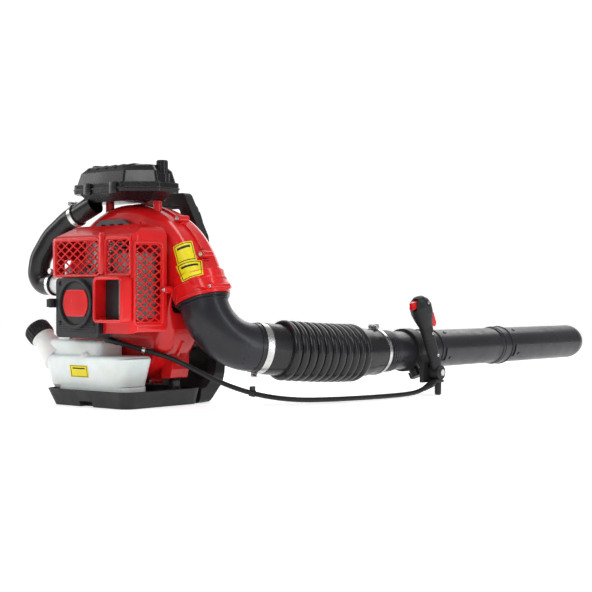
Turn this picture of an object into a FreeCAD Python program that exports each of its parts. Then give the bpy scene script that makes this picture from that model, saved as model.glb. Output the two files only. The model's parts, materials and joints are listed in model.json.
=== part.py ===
"""Backpack leaf blower, in millimetres.

+X is the wearer's right, where the blower tube is. +Y points forward, along the tube. +Z is up.
The origin is on the floor, below the crank axis and under the fan's middle plane.
"""

import FreeCAD
import Part
import math
import os

V = FreeCAD.Vector
X_DIR, Y_DIR, Z_DIR = V(1, 0, 0), V(0, 1, 0), V(0, 0, 1)

# Driving dimensions
CRANK_Z = 204.0             # height of the crank and fan axis
FAN_HALF = 50.0             # half the depth of the fan case
WALL = 3.0                  # moulded wall
FIT = 0.05                  # radial clearance of a running fit
GAP = 0.3                   # clearance between pieces that move past each other

SCROLL_R = 150.0            # fan case radius at the tongue
SCROLL_GROWTH = 70.0        # growth of that radius in one turn
TONGUE_ANGLE = -20.0        # degrees from +X
SCROLL_TURN = 320.0         # degrees, clockwise seen from behind

COLLAR_RIM = V(187, 0, 210)
COLLAR_DIR = V(0.326, 0, -0.9454).normalize()
COLLAR_R = 54.0
COLLAR_BORE_R = 49.0
COLLAR_LENGTH = 48.0

ELBOW_R = 48.0
ELBOW_BORE_R = 45.0
ELBOW_BEND = 97.0           # radius of the elbow's centreline
ELBOW_STRAIGHT = 10.0
TUBE_DIR = V(0.297, 0.948, -0.111).normalize()   # where the elbow points
PIPE_X = 290.0              # the straight pipes run along +Y at this X

PIPE_R = 42.25              # outside radius of the blower pipes
PIPE_BORE_R = 40.2
SOCKET_R = 44.6             # outside radius of a bayonet socket
SOCKET_LENGTH = 40.0
BELLOWS_END_Y = 425.0
SLEEVE_END_Y = 470.0
JOINT_1_Y = 627.0           # swivel pipe to mid pipe
JOINT_2_Y = 931.5           # mid pipe to nozzle
TIP_START_Y = 1268.0
TIP_Y = 1305.0
TIP_R = 34.0

CUFF_R = 49.0
CONVOLUTION_R = 58.0
CUFF_LENGTH = 65.0

CABLE_R = 5.0
CABLE_ROUTE = [             # from under the starter past the clip, down to the floor and up to the handle bracket
    (38, -116, 134), (56, -104, 127), (80, -82, 117), (107, -58, 107.5), (128, -25, 94.5), (136.7, 15, 76.5),
    (170, 52, 50), (220, 80, 29), (265, 110, 17),
    (300, 161, 10), (320, 232, 8), (335, 313, 7), (345, 427, 6), (350, 490, 8), (354, 518, 15.5), (358, 540, 25),
]
CLIP_POINT = 3              # the cable's point in the clip
CABLE_SPLITS = (7, 11)       # runs whose middle is where one cable piece ends and the next begins

PIVOT = V(358, 560, 50)     # handle pivot, axis along X
BRACKET_Y = 540.0


# Building blocks

def box(x0, x1, y0, y1, z0, z1):
    return Part.makeBox(x1 - x0, y1 - y0, z1 - z0, V(x0, y0, z0))


def rod(start, direction, radius, length):
    return Part.makeCylinder(radius, length, V(start), V(direction))


def ring(start, direction, outer, inner, length):
    return rod(start, direction, outer, length).cut(rod(start, direction, inner, length))


def join(shapes):
    whole = shapes[0]
    for shape in shapes[1:]:
        whole = whole.fuse(shape)
    return whole.removeSplitter()


def group(shapes):
    return Part.makeCompound(shapes)


def side_of(direction):
    other = Z_DIR if abs(direction.z) < 0.9 else X_DIR
    return other.cross(direction).normalize()


def lathe(profile, start, direction):
    """Turns (distance along the axis, radius) points round the axis through start."""
    side = side_of(direction)
    points = [start + direction * s + side * r for s, r in profile]
    wire = Part.makePolygon(points + [points[0]])
    return Part.Face(wire).revolve(start, direction, 360)


def rounded_edges(points, radii, closed):
    """Straight runs joined by tangent arcs: one radius for each point, 0 for a sharp corner."""
    count = len(points)
    entry, leave, arcs = [], [], []
    for i, point in enumerate(points):
        at_end = not closed and i in (0, count - 1)
        before = V(points[i - 1]).sub(point)
        after = V(points[(i + 1) % count]).sub(point)
        if at_end or radii[i] == 0:
            entry.append(point)
            leave.append(point)
            arcs.append(None)
            continue
        before.normalize()
        after.normalize()
        half = before.getAngle(after) / 2
        reach = radii[i] / math.tan(half)
        bisector = before.add(after).normalize()
        middle = point + bisector * (radii[i] / math.sin(half) - radii[i])
        entry.append(point + before * reach)
        leave.append(point + after * reach)
        arcs.append(Part.Arc(point + before * reach, middle, point + after * reach).toShape())
    edges = []
    for i in range(count):
        if arcs[i]:
            edges.append(arcs[i])
        if closed or i < count - 1:
            start, end = leave[i], entry[(i + 1) % count]
            if start.distanceToPoint(end) > 1e-6:
                edges.append(Part.LineSegment(start, end).toShape())
    return edges


def slab(points, plane, low, high, radius=0.0):
    """A closed outline in the plane XZ, YZ or XY, with rounded corners, pulled from low to high across it."""
    place = {
        "XZ": lambda a, b: V(a, low, b),
        "YZ": lambda a, b: V(low, a, b),
        "XY": lambda a, b: V(a, b, low),
    }[plane]
    along = {"XZ": Y_DIR, "YZ": X_DIR, "XY": Z_DIR}[plane]
    corners = [place(*p[:2]) for p in points]
    radii = [p[2] if len(p) > 2 else radius for p in points]
    return Part.Face(Part.Wire(rounded_edges(corners, radii, True))).extrude(along * (high - low))


def hose(points, radii, radius, bore=0.0):
    path = Part.Wire(rounded_edges([V(p) for p in points], radii, False))
    heading = V(points[1]).sub(V(points[0])).normalize()
    outer = path.makePipe(Part.Face(Part.Wire(Part.makeCircle(radius, V(points[0]), heading))))
    if not bore:
        return outer
    return outer.cut(path.makePipe(Part.Face(Part.Wire(Part.makeCircle(bore, V(points[0]), heading)))))


def bend(start, heading, towards, radius, angle, section_outer, section_inner):
    """A piece of a pipe bend whose centreline turns from heading to the side of towards."""
    across = towards - heading * heading.dot(towards)
    across.normalize()
    axis = heading.cross(across)
    centre = start + across * radius
    outer = Part.Face(Part.Wire(Part.makeCircle(section_outer, start, heading)))
    inner = Part.Face(Part.Wire(Part.makeCircle(section_inner, start, heading)))
    return outer.cut(inner).revolve(centre, axis, angle)


def bend_end(start, heading, towards, radius, angle):
    across = towards - heading * heading.dot(towards)
    across.normalize()
    turn = math.radians(angle)
    return start + heading * (radius * math.sin(turn)) + across * (radius * (1 - math.cos(turn)))


def lattice(width_from, width_to, height_from, height_to, across, up, bar):
    """Diamond holes, as (centre, half width, half height), that fill a window."""
    holes = []
    rows = int((height_to - height_from) / (up / 2)) + 2
    columns = int((width_to - width_from) / across) + 2
    for row in range(rows):
        for column in range(columns):
            centre = (width_from + (column + 0.5 * (row % 2)) * across, height_from + row * up / 2)
            holes.append((centre, across / 2 - bar, up / 2 - bar * up / across))
    return holes


# Frame

MOUNT_X = 101.0             # the lower vibration mounts stand this far to each side
MOUNT_TOP = 54.0            # and reach up to here, where the fan case's feet start


def tray_wire(low_x, low_y, high_x, high_y, z, rounding):
    corners = [V(low_x, low_y, z), V(high_x, low_y, z), V(high_x, high_y, z), V(low_x, high_y, z)]
    return Part.Wire(rounded_edges(corners, [rounding] * 4, True))


def base_tray():
    outer = Part.makeLoft([tray_wire(-104, -138, 118, 62, 0, 22), tray_wire(-116, -150, 130, 62, 33, 24)], True)
    inner = Part.makeLoft([tray_wire(-99, -133, 113, 57, 5, 18), tray_wire(-111, -145, 125, 57, 34, 20)], True)
    notch_wall = box(-21, 29, -144, -116, 3, 16)
    notch = box(-15, 23, -151, -122, -1, 11)
    posts = [rod(V(x, 8, 4), Z_DIR, 13, 29).common(outer) for x in (-MOUNT_X, MOUNT_X)]
    return join([outer.cut(inner), notch_wall.common(outer)] + posts).cut(notch)


FRAME_FRONT = [(62, 0), (92, 2), (122, 40), (128, 80), (112, 200), (96, 431)]


def back_frame():
    """A curved moulded panel with thicker side rails, a carrying slot at the top and open windows."""
    outline = [(-118, 0, 12), (118, 0, 12), (128, 60, 20), (120, 200, 60), (104, 342, 18), (60, 432, 14),
               (-60, 432, 14), (-104, 342, 18), (-120, 200, 60), (-128, 60, 20)]
    inset = [(-100, 16, 8), (100, 16, 8), (106, 62, 16), (99, 200, 60), (86, 336, 14), (48, 406, 10),
             (-48, 406, 10), (-86, 336, 14), (-99, 200, 60), (-106, 62, 16)]
    panel = FRAME_FRONT + [(88, 431), (104, 200), (120, 82), (114, 46), (88, 10), (62, 8)]
    rail = FRAME_FRONT + [(74, 431), (90, 200), (103, 86), (97, 62), (76, 33), (62.3, 30)]
    face = slab(outline, "XZ", 0, 200)
    edge = face.cut(slab(inset, "XZ", -1, 201))
    thin = slab(panel, "YZ", -140, 140).common(face)
    thick = slab(rail, "YZ", -140, 140).common(edge)
    bosses = [rod(V(x, 72, 123), Y_DIR, 14, 46) for x in (-88, 88)]
    whole = join([thin, thick] + bosses)
    windows = [
        slab([(-36, 382), (36, 382), (32, 400), (-32, 400)], "XZ", 60, 130, 8),
        slab([(-60, 215), (60, 215), (66, 350), (-66, 350)], "XZ", 60, 130, 14),
    ]
    for window in windows:
        whole = whole.cut(window)
    return whole


def back_pad():
    side = [(130.5, 70), (114.5, 200), (105, 335), (123, 335), (134, 200), (150, 70)]
    face = slab([(-98, 60), (98, 60), (84, 340), (-84, 340)], "XZ", 60, 200, 26)
    return slab(side, "YZ", -110, 110, 5).common(face)


STRAP_REAR = [(98.5, 398), (108, 396), (133, 340), (154, 250), (161, 160), (158, 108)]
STRAP_FRONT = [(168, 108), (171, 160), (164, 250), (143, 344), (113, 414), (98.0, 416)]


def strap_pad(side):
    return slab(STRAP_REAR + STRAP_FRONT, "YZ", min(side * 18, side * 68), max(side * 18, side * 68), 2)


def strap_webbing(side):
    low, high = sorted((side * 30, side * 56))
    path = [(160.5, 107.6), (163.5, 107.6), (163.5, 84), (148, 55), (127.5, 44), (126, 47), (145.5, 58), (160.5, 86)]
    return slab(path, "YZ", low, high, 0.8)


def strap_buckle(side):
    low, high = sorted((side * 27, side * 59))
    inside = sorted((side * 29.7, side * 56.3))
    block = slab([(154, 88), (170, 88), (170, 106), (154, 106)], "YZ", low, high, 3)
    return block.cut(box(inside[0], inside[1], 160.2, 163.8, 80, 110))


def mounts():
    profile = [(0, 0), (0, 14), (5, 11), (16, 11), (21, 14), (21, 0)]
    lower = [lathe(profile, V(x, 8, MOUNT_TOP - 21), Z_DIR) for x in (-MOUNT_X, MOUNT_X)]
    upper = [lathe([(0, 0), (0, 13), (5, 10.5), (14, 10.5), (19.5, 13), (19.5, 0)], V(x, 52.5, 123), Y_DIR)
             for x in (-88, 88)]
    return group(lower + upper)


# Fan case

CLEANER_Z = 407.5           # underside of the air cleaner
FLANGE = 3.5                # height of the rim where the two case halves meet
BOSS_TURNS = (50, 84, 130, 174, 216, 288, 314)   # places of the case screws, in degrees past the tongue


def scroll_radius(turned):
    return SCROLL_R + SCROLL_GROWTH * turned / 360


def case_outline(inset, y):
    """The scroll with its straight run to the outlet, as a closed wire at y."""
    points = []
    for step in range(17):
        turned = SCROLL_TURN * step / 16
        angle = math.radians(TONGUE_ANGLE - turned)
        radius = scroll_radius(turned) - inset
        points.append(V(radius * math.cos(angle), y, CRANK_Z + radius * math.sin(angle)))
    curve = Part.BSplineCurve()
    curve.interpolate(points)
    across = V(-COLLAR_DIR.z, 0, COLLAR_DIR.x)
    rim = COLLAR_RIM - COLLAR_DIR * (6 + inset)
    rim.y = y
    outer_corner = rim + across * (COLLAR_R - 3 - inset)
    inner_corner = rim - across * (COLLAR_R - 8 - inset)
    return Part.Wire([
        curve.toShape(),
        Part.LineSegment(points[-1], outer_corner).toShape(),
        Part.LineSegment(outer_corner, inner_corner).toShape(),
        Part.LineSegment(inner_corner, points[0]).toShape(),
    ])


def case_body(inset, half_depth, edge_round):
    """The scroll as a solid, with its two outer edges rounded."""
    middle_half = half_depth - edge_round
    shape = Part.Face(case_outline(inset, -middle_half)).extrude(Y_DIR * (2 * middle_half))
    for side in (-1, 1):
        sections = []
        for step in range(5):
            angle = math.radians(90 - 22.5 * step)
            y = side * (middle_half + edge_round * math.cos(angle))
            sections.append(case_outline(inset + edge_round * (1 - math.sin(angle)), y))
        shape = shape.fuse(Part.makeLoft(sections, True))
    return shape


def case_flange():
    points = []
    for step in range(15):
        turned = 10 + (SCROLL_TURN - 20) * step / 14
        angle = math.radians(TONGUE_ANGLE - turned)
        points.append((turned, angle))
    outer = [V(math.cos(a), 0, math.sin(a)) * (scroll_radius(t) + FLANGE) + V(0, -3, CRANK_Z) for t, a in points]
    inner = [V(math.cos(a), 0, math.sin(a)) * (scroll_radius(t) - 2) + V(0, -3, CRANK_Z) for t, a in points]
    outside, inside = Part.BSplineCurve(), Part.BSplineCurve()
    outside.interpolate(outer)
    inside.interpolate(inner)
    edges = [
        outside.toShape(),
        Part.LineSegment(outer[-1], inner[-1]).toShape(),
        inside.toShape(),
        Part.LineSegment(inner[0], outer[0]).toShape(),
    ]
    return Part.Face(Part.Wire(Part.__sortEdges__(edges))).extrude(Y_DIR * 6)


def boss_centre(turned):
    angle = math.radians(TONGUE_ANGLE - turned)
    radius = scroll_radius(turned) + 6.5
    return V(radius * math.cos(angle), 0, CRANK_Z + radius * math.sin(angle))


def fan_case():
    collar_top = COLLAR_RIM - COLLAR_DIR * COLLAR_LENGTH
    outer = case_body(0, FAN_HALF, 24).fuse(rod(collar_top, COLLAR_DIR, COLLAR_R, COLLAR_LENGTH))
    lip = rod(COLLAR_RIM - COLLAR_DIR * 5, COLLAR_DIR, COLLAR_R + 1.6, 5)
    inner = case_body(WALL, FAN_HALF - WALL, 21)
    bore = rod(collar_top + COLLAR_DIR * WALL, COLLAR_DIR, COLLAR_BORE_R, COLLAR_LENGTH + 10)
    extras = [case_flange(), lip]
    extras += [rod(boss_centre(t) - Y_DIR * 13, Y_DIR, 7, 26) for t in BOSS_TURNS]
    extras.append(rod(COLLAR_RIM - COLLAR_DIR * 12 + V(48, -26, 16), Y_DIR, 6, 52))
    for side in (-1, 1):
        outline = [(88, MOUNT_TOP), (112, MOUNT_TOP), (117, 72), (117, 104), (108, 112), (88, 100)]
        extras.append(slab([(side * x, z) for x, z in outline], "XZ", -16, 32, 3))
        extras.append(rod(V(side * 88, 40, 123), Y_DIR, 15, 12.5))
    posts = [rod(V(x, y, 372), Z_DIR, 9, CLEANER_Z - 372) for x, y in ((80, -20), (-60, -20), (20, 10))]
    shell = outer
    for extra in extras + posts:
        shell = shell.fuse(extra)
    shell = shell.cut(inner).cut(bore)
    for turned in BOSS_TURNS:
        shell = shell.cut(rod(boss_centre(turned) - Y_DIR * 14, Y_DIR, 2.3, 28))
    shell = shell.cut(rod(V(0, -60, CRANK_Z), Y_DIR, 20, 30))
    shell = shell.cut(rod(V(0, 30, CRANK_Z), Y_DIR, 84, 40))
    return shell


def case_halves():
    whole = fan_case()
    rear = whole.common(box(-300, 300, -80, 0, 0, 500))
    front = whole.common(box(-300, 300, 0.0, 80, 0, 500))
    return rear, front


def case_screws():
    screws = []
    for turned in BOSS_TURNS:
        at = boss_centre(turned)
        shank = rod(at - Y_DIR * 13, Y_DIR, 2.0, 25)
        head = rod(at - Y_DIR * 17, Y_DIR, 4.6, 4).cut(rod(at - Y_DIR * 18, Y_DIR, 2.2, 3))
        screws.append(head.fuse(shank))
    return screws


def intake_guard():
    """The round grid over the fan's air intake, on the wearer's side."""
    rings = [ring(V(0, 48, CRANK_Z), Y_DIR, r, r - 3, 3) for r in (83.5, 66, 50, 34, 18)]
    spokes = []
    for n in range(6):
        bar = box(6, 82, 48, 51, CRANK_Z - 1.5, CRANK_Z + 1.5)
        bar.rotate(V(0, 0, CRANK_Z), Y_DIR, 60 * n)
        spokes.append(bar)
    return join(rings + spokes)


def impeller():
    disc = rod(V(0, -34, CRANK_Z), Y_DIR, 132, 3)
    hub = rod(V(0, -38, CRANK_Z), Y_DIR, 18, 60)
    shape = disc.fuse(hub)
    for n in range(12):
        blade = box(60, 131, -31.5, 30, CRANK_Z - 1.5, CRANK_Z + 1.5)
        blade.rotate(V(60, 0, CRANK_Z), Y_DIR, 32)
        blade.rotate(V(0, 0, CRANK_Z), Y_DIR, 30 * n)
        shape = shape.fuse(blade.common(rod(V(0, -40, CRANK_Z), Y_DIR, 132, 80)))
    return shape.cut(rod(V(0, -39, CRANK_Z), Y_DIR, 8, 62))


# Engine

def crankshaft():
    rear = rod(V(0, -128, CRANK_Z), Y_DIR, 8, 40).fuse(rod(V(0, -94, CRANK_Z), Y_DIR, 30, 6))
    front = rod(V(0, -76, CRANK_Z), Y_DIR, 30, 6).fuse(rod(V(0, -74, CRANK_Z), Y_DIR, 8, 96))
    return group([rear, front])


def flywheel():
    shape = rod(V(0, -122, CRANK_Z), Y_DIR, 40, 9)
    for n in range(12):
        fin = box(22, 45, -126, -113, CRANK_Z - 1.5, CRANK_Z + 1.5)
        fin.rotate(V(0, 0, CRANK_Z), Y_DIR, 30 * n)
        shape = shape.fuse(fin)
    return shape.cut(rod(V(0, -130, CRANK_Z), Y_DIR, 8, 40))


def crankcase():
    outer = rod(V(0, -104, CRANK_Z), Y_DIR, 41, 53.5).fuse(box(-34, 34, -104, -58, CRANK_Z, 248))
    inner = rod(V(0, -98, CRANK_Z), Y_DIR, 33, 36)
    shape = outer.cut(inner).cut(rod(V(0, -82, 230), Z_DIR, 26, 30))
    return shape.cut(rod(V(0, -110, CRANK_Z), Y_DIR, 8 + GAP, 70))


def cylinder():
    barrel = rod(V(0, -82, 248), Z_DIR, 31, 76)
    outline = [(-40, -106), (40, -106), (40, -59), (-40, -59)]
    fins = [slab(outline, "XY", z, z + 2.4, 6) for z in range(280, 326, 6)]
    port = rod(V(29, -82, 264), X_DIR, 13, 16)
    shape = join([barrel, port] + fins)
    shape = shape.cut(rod(V(0, -82, 240), Z_DIR, 24.2, 76))
    shape = shape.cut(rod(V(0, -82, 300), Z_DIR, 6, 40))
    return shape.cut(rod(V(-40, -82, 264), X_DIR, 9, 90))


def piston():
    return rod(V(0, -82, 272), Z_DIR, 24.15, 30).cut(rod(V(0, -82, 271), Z_DIR, 20, 24))


def spark_plug():
    profile = [(0, 0), (0, 5.8), (16, 5.8), (16, 9), (22, 9), (22, 5), (40, 5), (40, 0)]
    return lathe(profile, V(0, -82, 308.5), Z_DIR)


def muffler():
    body = slab([(66, -138), (136, -138), (136, -72), (66, -72)], "XY", 176, 300, 9)
    seam = slab([(64, -107), (138, -107), (138, -103), (64, -103)], "XY", 174, 302, 1.5)
    flange = rod(V(45.2, -82, 264), X_DIR, 16, 20.8)
    outlet = rod(V(104, -146, 206), Y_DIR, 13, 9)
    shape = join([body, seam, flange, outlet])
    hollow = slab([(68, -136), (134, -136), (134, -74), (68, -74)], "XY", 178, 298, 7)
    return shape.cut(hollow).cut(rod(V(104, -150, 206), Y_DIR, 11, 20)).cut(rod(V(44, -82, 264), X_DIR, 9, 30))


def intake_manifold():
    flange = box(-46, -42, -100, -64, 246, 282)
    pipe = hose([(-92, -86, 242), (-72, -86, 242), (-58, -82, 264), (-42, -82, 264)], [0, 14, 14, 0], 15, 9)
    neck = ring(V(-43, -82, 264), X_DIR, 13, 9, 12).cut(rod(V(0, -82, 248), Z_DIR, 31, 76))
    return join([flange.cut(rod(V(-50, -82, 264), X_DIR, 9, 20)), pipe, neck])


def carburettor():
    body = slab([(-126, 220), (-92, 220), (-92, 264), (-126, 264)], "XZ", -108, -64, 4)
    spigot = rod(V(-152, -86, 242), X_DIR, 19.5, 27)
    bowl = rod(V(-109, -86, 208), Z_DIR, 15, 13)
    dome = lathe([(0, 0), (0, 13), (7, 12), (12, 7), (13, 0)], V(-109, -86, 264), Z_DIR)
    shape = join([body, spigot, bowl, dome])
    shape = shape.cut(rod(V(-153, -86, 242), X_DIR, 14, 66))
    return shape.cut(rod(V(-104, -112, 242), Y_DIR, 3 + FIT, 52))


def throttle_shaft():
    spindle = rod(V(-104, -111, 242), Y_DIR, 3, 50)
    plate = ring(V(-104.75, -86, 242), X_DIR, 13.4, 0.1, 1.5)
    lever = box(-108, -100, -112.5, -109, 238, 260)
    return join([spindle, plate.fuse(rod(V(-104.75, -86, 242), X_DIR, 2, 1.5)), lever])


def ignition_coil():
    return join([box(-12, 12, -125, -114.5, 253, 270), box(-16, 16, -122, -115, 249.5, 256)])


def engine_cover():
    """A moulded shell over the engine, with diamond grilles and a frame round the exhaust."""
    outline = [(-94, 146, 6), (149, 146, 10), (149, 346, 24), (120, 357, 20), (-60, 357, 24), (-94, 322, 30)]
    inner_outline = [(-91, 140, 2), (146, 140, 2), (146, 344, 21), (119, 354, 18), (-59, 354, 22), (-91, 320, 27)]
    side = [(-150, 140, 0), (-61, 140, 0), (-61, 358, 0), (-104, 358, 14), (-150, 333, 16)]
    inner_side = [(-147, 139, 0), (-60, 139, 0), (-60, 355, 0), (-103, 355, 12), (-147, 331, 13)]
    outer = slab(outline, "XZ", -150, -61).common(slab(side, "YZ", -100, 160))
    outer = outer.common(slab([(-94, -150, 14), (149, -150, 16), (149, -61, 0), (-94, -61, 0)], "XY", 100, 400))
    inner = slab(inner_outline, "XZ", -147, -60).common(slab(inner_side, "YZ", -91, 146))
    inner = inner.common(slab([(-91, -147, 11), (146, -147, 13), (146, -60, 0), (-91, -60, 0)], "XY", 100, 400))
    shape = outer.cut(inner)
    frame = slab([(64, 167), (146, 167), (146, 255), (64, 255)], "XZ", -175, -146, 9)
    shape = shape.fuse(frame)
    shape = shape.cut(slab([(70, 173), (140, 173), (140, 249), (70, 249)], "XZ", -180, -140, 5))
    shape = shape.cut(box(-100, 66, -160, -112, 120, 256))
    shape = shape.cut(box(-110, -80, -114, -50, 204, 290))
    windows = [(-72, 50, 261, 325, "rear"), (76, 138, 262, 325, "rear"), (-142, -77, 169, 316, "side")]
    for low, high, bottom, top, face in windows:
        holes = []
        if face == "rear":
            window = slab([(low, bottom), (high, bottom), (high, top), (low, top)], "XZ", -156, -144, 4)
        else:
            window = slab([(low, bottom), (high, bottom), (high, top), (low, top)], "YZ", 143, 156, 4)
        for (a, b), wide, tall in lattice(low, high, bottom, top, 24.4, 16, 2.1):
            if face == "rear":
                holes.append(slab([(a - wide, b), (a, b - tall), (a + wide, b), (a, b + tall)], "XZ", -157, -143))
            else:
                holes.append(slab([(a - wide, b), (a, b - tall), (a + wide, b), (a, b + tall)], "YZ", 142, 157))
        shape = shape.cut(group(holes).common(window))
    tab = slab([(88, 340), (112, 340), (108, 366), (92, 366)], "XZ", -84, -80, 4)
    tab = tab.cut(rod(V(100, -90, 360), Y_DIR, 2.5, 20))
    return shape.fuse(tab.cut(inner)).removeSplitter()


def air_guide():
    """The grey arched guide that closes the gap between the engine cover's roof and the fan case."""
    outline = [(-70, 300), (46, 300), (46, 358, 12), (20, 372, 20), (-44, 372, 20), (-70, 358, 12)]
    outer = slab(outline, "XZ", -59, -51, 2)
    hollow = slab([(-60, 290), (36, 290), (36, 352), (-60, 352)], "XZ", -60, -50, 10)
    slots = [box(x, x + 14, -60, -50, 357, 363) for x in (-44, -18, 8)]
    shape = outer.cut(hollow)
    for slot in slots:
        shape = shape.cut(slot)
    return shape


# Starter

def starter_case():
    outline = [(-63, 136, 10), (63, 136, 10), (63, 253, 8), (-63, 253, 8)]
    inner_outline = [(-60.4, 138.6, 8), (60.4, 138.6, 8), (60.4, 250.4, 6), (-60.4, 250.4, 6)]
    shape = slab(outline, "XZ", -160, -127)
    shape = shape.fuse(rod(V(0, -166, CRANK_Z), Y_DIR, 49, 8))
    shape = shape.cut(slab(inner_outline, "XZ", -157.4, -126))
    shape = shape.cut(rod(V(0, -167, CRANK_Z), Y_DIR, 43, 4.5))
    shape = shape.fuse(rod(V(0, -158, CRANK_Z), Y_DIR, 6, 19))
    for x in (-50, 50):
        for z in (-39, 39):
            shape = shape.fuse(rod(V(x, -159, CRANK_Z + z), Y_DIR, 7, 32))
            shape = shape.cut(rod(V(x, -161, CRANK_Z + z), Y_DIR, 4.6, 10))
            shape = shape.cut(rod(V(x, -161, CRANK_Z + z), Y_DIR, 2.3, 35))
    return shape.cut(rod(V(-70, -149, CRANK_Z), X_DIR, 3.5, 15))


def starter_screws():
    screws = []
    for x in (-50, 50):
        for z in (-39, 39):
            head = rod(V(x, -155, CRANK_Z + z), Y_DIR, 4.2, 4).cut(rod(V(x, -156, CRANK_Z + z), Y_DIR, 2, 3))
            screws.append(head.fuse(rod(V(x, -152, CRANK_Z + z), Y_DIR, 2, 25)))
    return screws


def starter_badge():
    plate = rod(V(0, -164.5, CRANK_Z), Y_DIR, 36, 2)
    return plate.common(box(-40, 40, -170, -150, CRANK_Z - 26, CRANK_Z + 26))


def starter_pulley():
    profile = [(0, 0), (0, 34), (2, 34), (4, 30), (8, 30), (10, 34), (12, 34), (12, 0)]
    return lathe(profile, V(0, -155, CRANK_Z), Y_DIR).cut(rod(V(0, -156, CRANK_Z), Y_DIR, 6 + FIT, 20))


def starter_grip():
    bar = slab([(-84, -170), (-67, -170), (-65, -146), (-67, -122), (-84, -122), (-82, -146)], "XY", 196, 212, 5)
    return bar.cut(rod(V(-70, -149, CRANK_Z), X_DIR, 2, 10))


def starter_rope():
    return rod(V(-69, -149, CRANK_Z), X_DIR, 1.9, 27)


# Fuel

def tank_tub(inset):
    """The tank's lower part, narrower towards its foot and rounded along its bottom edge."""
    sections = []
    for z, step, rounding in ((33 + inset, 30, 16), (40 + inset, 20, 20), (100 - inset, 0, 26)):
        low_x, high_x = -138 + step * 0.7 + inset, 109 - step - inset
        low_y, high_y = -140 + step * 0.5 + inset, -55 - inset
        corners = [V(low_x, low_y, z), V(high_x, low_y, z), V(high_x, high_y, z), V(low_x, high_y, z)]
        radii = [rounding - inset, rounding - inset, 14 - inset, 14 - inset]
        sections.append(Part.Wire(rounded_edges(corners, radii, True)))
    return Part.makeLoft(sections, True, True)


def fuel_tank():
    body = tank_tub(0)
    edges = [e for e in body.Edges if abs(e.BoundBox.ZMax - 100) < 0.1 and abs(e.BoundBox.ZMin - 100) < 0.1]
    body = body.makeFillet(7, edges)
    raised = slab([(-136, -128, 24), (22, -128, 16), (22, -57, 10), (-136, -57, 18)], "XY", 90, 131)
    edges = [e for e in raised.Edges if abs(e.BoundBox.ZMin - 131) < 0.1]
    raised = raised.makeFillet(9, edges)
    keel = slab([(-96, -130), (100, -130), (100, -62), (-96, -62)], "XY", 19, 40, 16)
    neck_dir = V(-0.74, -0.06, 0.67).normalize()
    neck = lathe([(0, 0), (0, 32), (52, 22), (84, 22), (84, 0)], V(-118, -108, 92), neck_dir)
    dome = lathe([(0, 0), (0, 12), (7, 8), (12, 3), (12, 0)], V(-8, -132, 96), Z_DIR)
    outer = join([body, raised, keel, neck, dome])
    inner = tank_tub(WALL).fuse(slab([(-133, -125, 21), (19, -125, 13), (19, -60, 7), (-133, -60, 15)], "XY", 90, 128))
    inner = inner.fuse(slab([(-93, -127), (97, -127), (97, -65), (-93, -65)], "XY", 22, 40, 13))
    throat = rod(V(-118, -108, 92) + neck_dir * 16, neck_dir, 18.5, 80)
    return outer.cut(inner).cut(throat), neck_dir


def fuel_cap(neck_dir):
    start = V(-118, -108, 92) + neck_dir * 62
    cap = lathe([(0, 0), (0, 26), (25, 26), (27, 24), (27, 0)], start, neck_dir)
    return cap.cut(rod(start - neck_dir, neck_dir, 22 + FIT, 23 + FIT))


def fuel_line():
    return hose([(-112, -80, 131), (-112, -80, 170), (-109, -86, 190), (-109, -86, 207.8)], [0, 20, 14, 0], 3)


# Air cleaner

CLEANER_PLAN = [(-108, -66), (-80, -101), (66, -101), (120, -54), (120, 2), (92, 27), (-86, 27), (-108, 4)]


def cleaner_wire(inset, z, rounding):
    scale_x = (114 - inset) / 114
    scale_y = (64 - inset) / 64
    points = [V(4 + (x - 4) * scale_x, -37 + (y + 37) * scale_y, z) for x, y in CLEANER_PLAN]
    return Part.Wire(rounded_edges(points, [rounding] * len(points), True))


NECK_START = V(-58, -62, 406)
DUCT_ROUTE = [V(-128, -70, 375), V(-170, -82, 340), V(-196, -92, 296), V(-203, -92, 262), V(-192, -87, 242),
              V(-153, -86, 242)]
DUCT_RADII = [0, 60, 75, 60, 27, 22, 0]
NECK_DIR = (DUCT_ROUTE[0] - NECK_START).normalize()
NECK_LENGTH = 50.0
DUCT_R = 22.5


def air_cleaner_base():
    tub = Part.makeLoft([cleaner_wire(26, CLEANER_Z, 8), cleaner_wire(8, 426, 8)], True)
    rim = Part.makeLoft([cleaner_wire(1, 424, 10), cleaner_wire(0, 432, 10)], True)
    hollow = Part.makeLoft([cleaner_wire(30, CLEANER_Z + 4, 6), cleaner_wire(10, 433, 6)], True)
    neck = rod(NECK_START, NECK_DIR, 21, NECK_LENGTH)
    shape = join([tub, rim, neck]).cut(hollow)
    return shape.cut(rod(NECK_START - NECK_DIR * 6, NECK_DIR, 17, NECK_LENGTH + 10))


def air_cleaner_cover():
    def dome(sections):
        return Part.makeLoft([cleaner_wire(*section) for section in sections], True, True)

    lower = dome([(0.5, 432, 10), (1, 441, 10)])
    upper = dome([(5, 440, 10), (12, 466, 10), (22, 476, 10)])
    crown = dome([(22, 475.5, 10), (44, 481, 8)])
    hollow = dome([(8, 431, 8), (16, 464, 8), (26, 472, 8)])
    shape = join([lower, upper, crown]).cut(hollow)
    for x, y in CLEANER_KNOBS:
        shape = shape.fuse(rod(V(x, y, 434), Z_DIR, 15, 26)).cut(rod(V(x, y, 452), Z_DIR, 13, 40))
        shape = shape.cut(rod(V(x, y, 425), Z_DIR, 3 + FIT, 40))
    return shape


CLEANER_KNOBS = [(102, -28), (-86, -30)]


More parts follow.
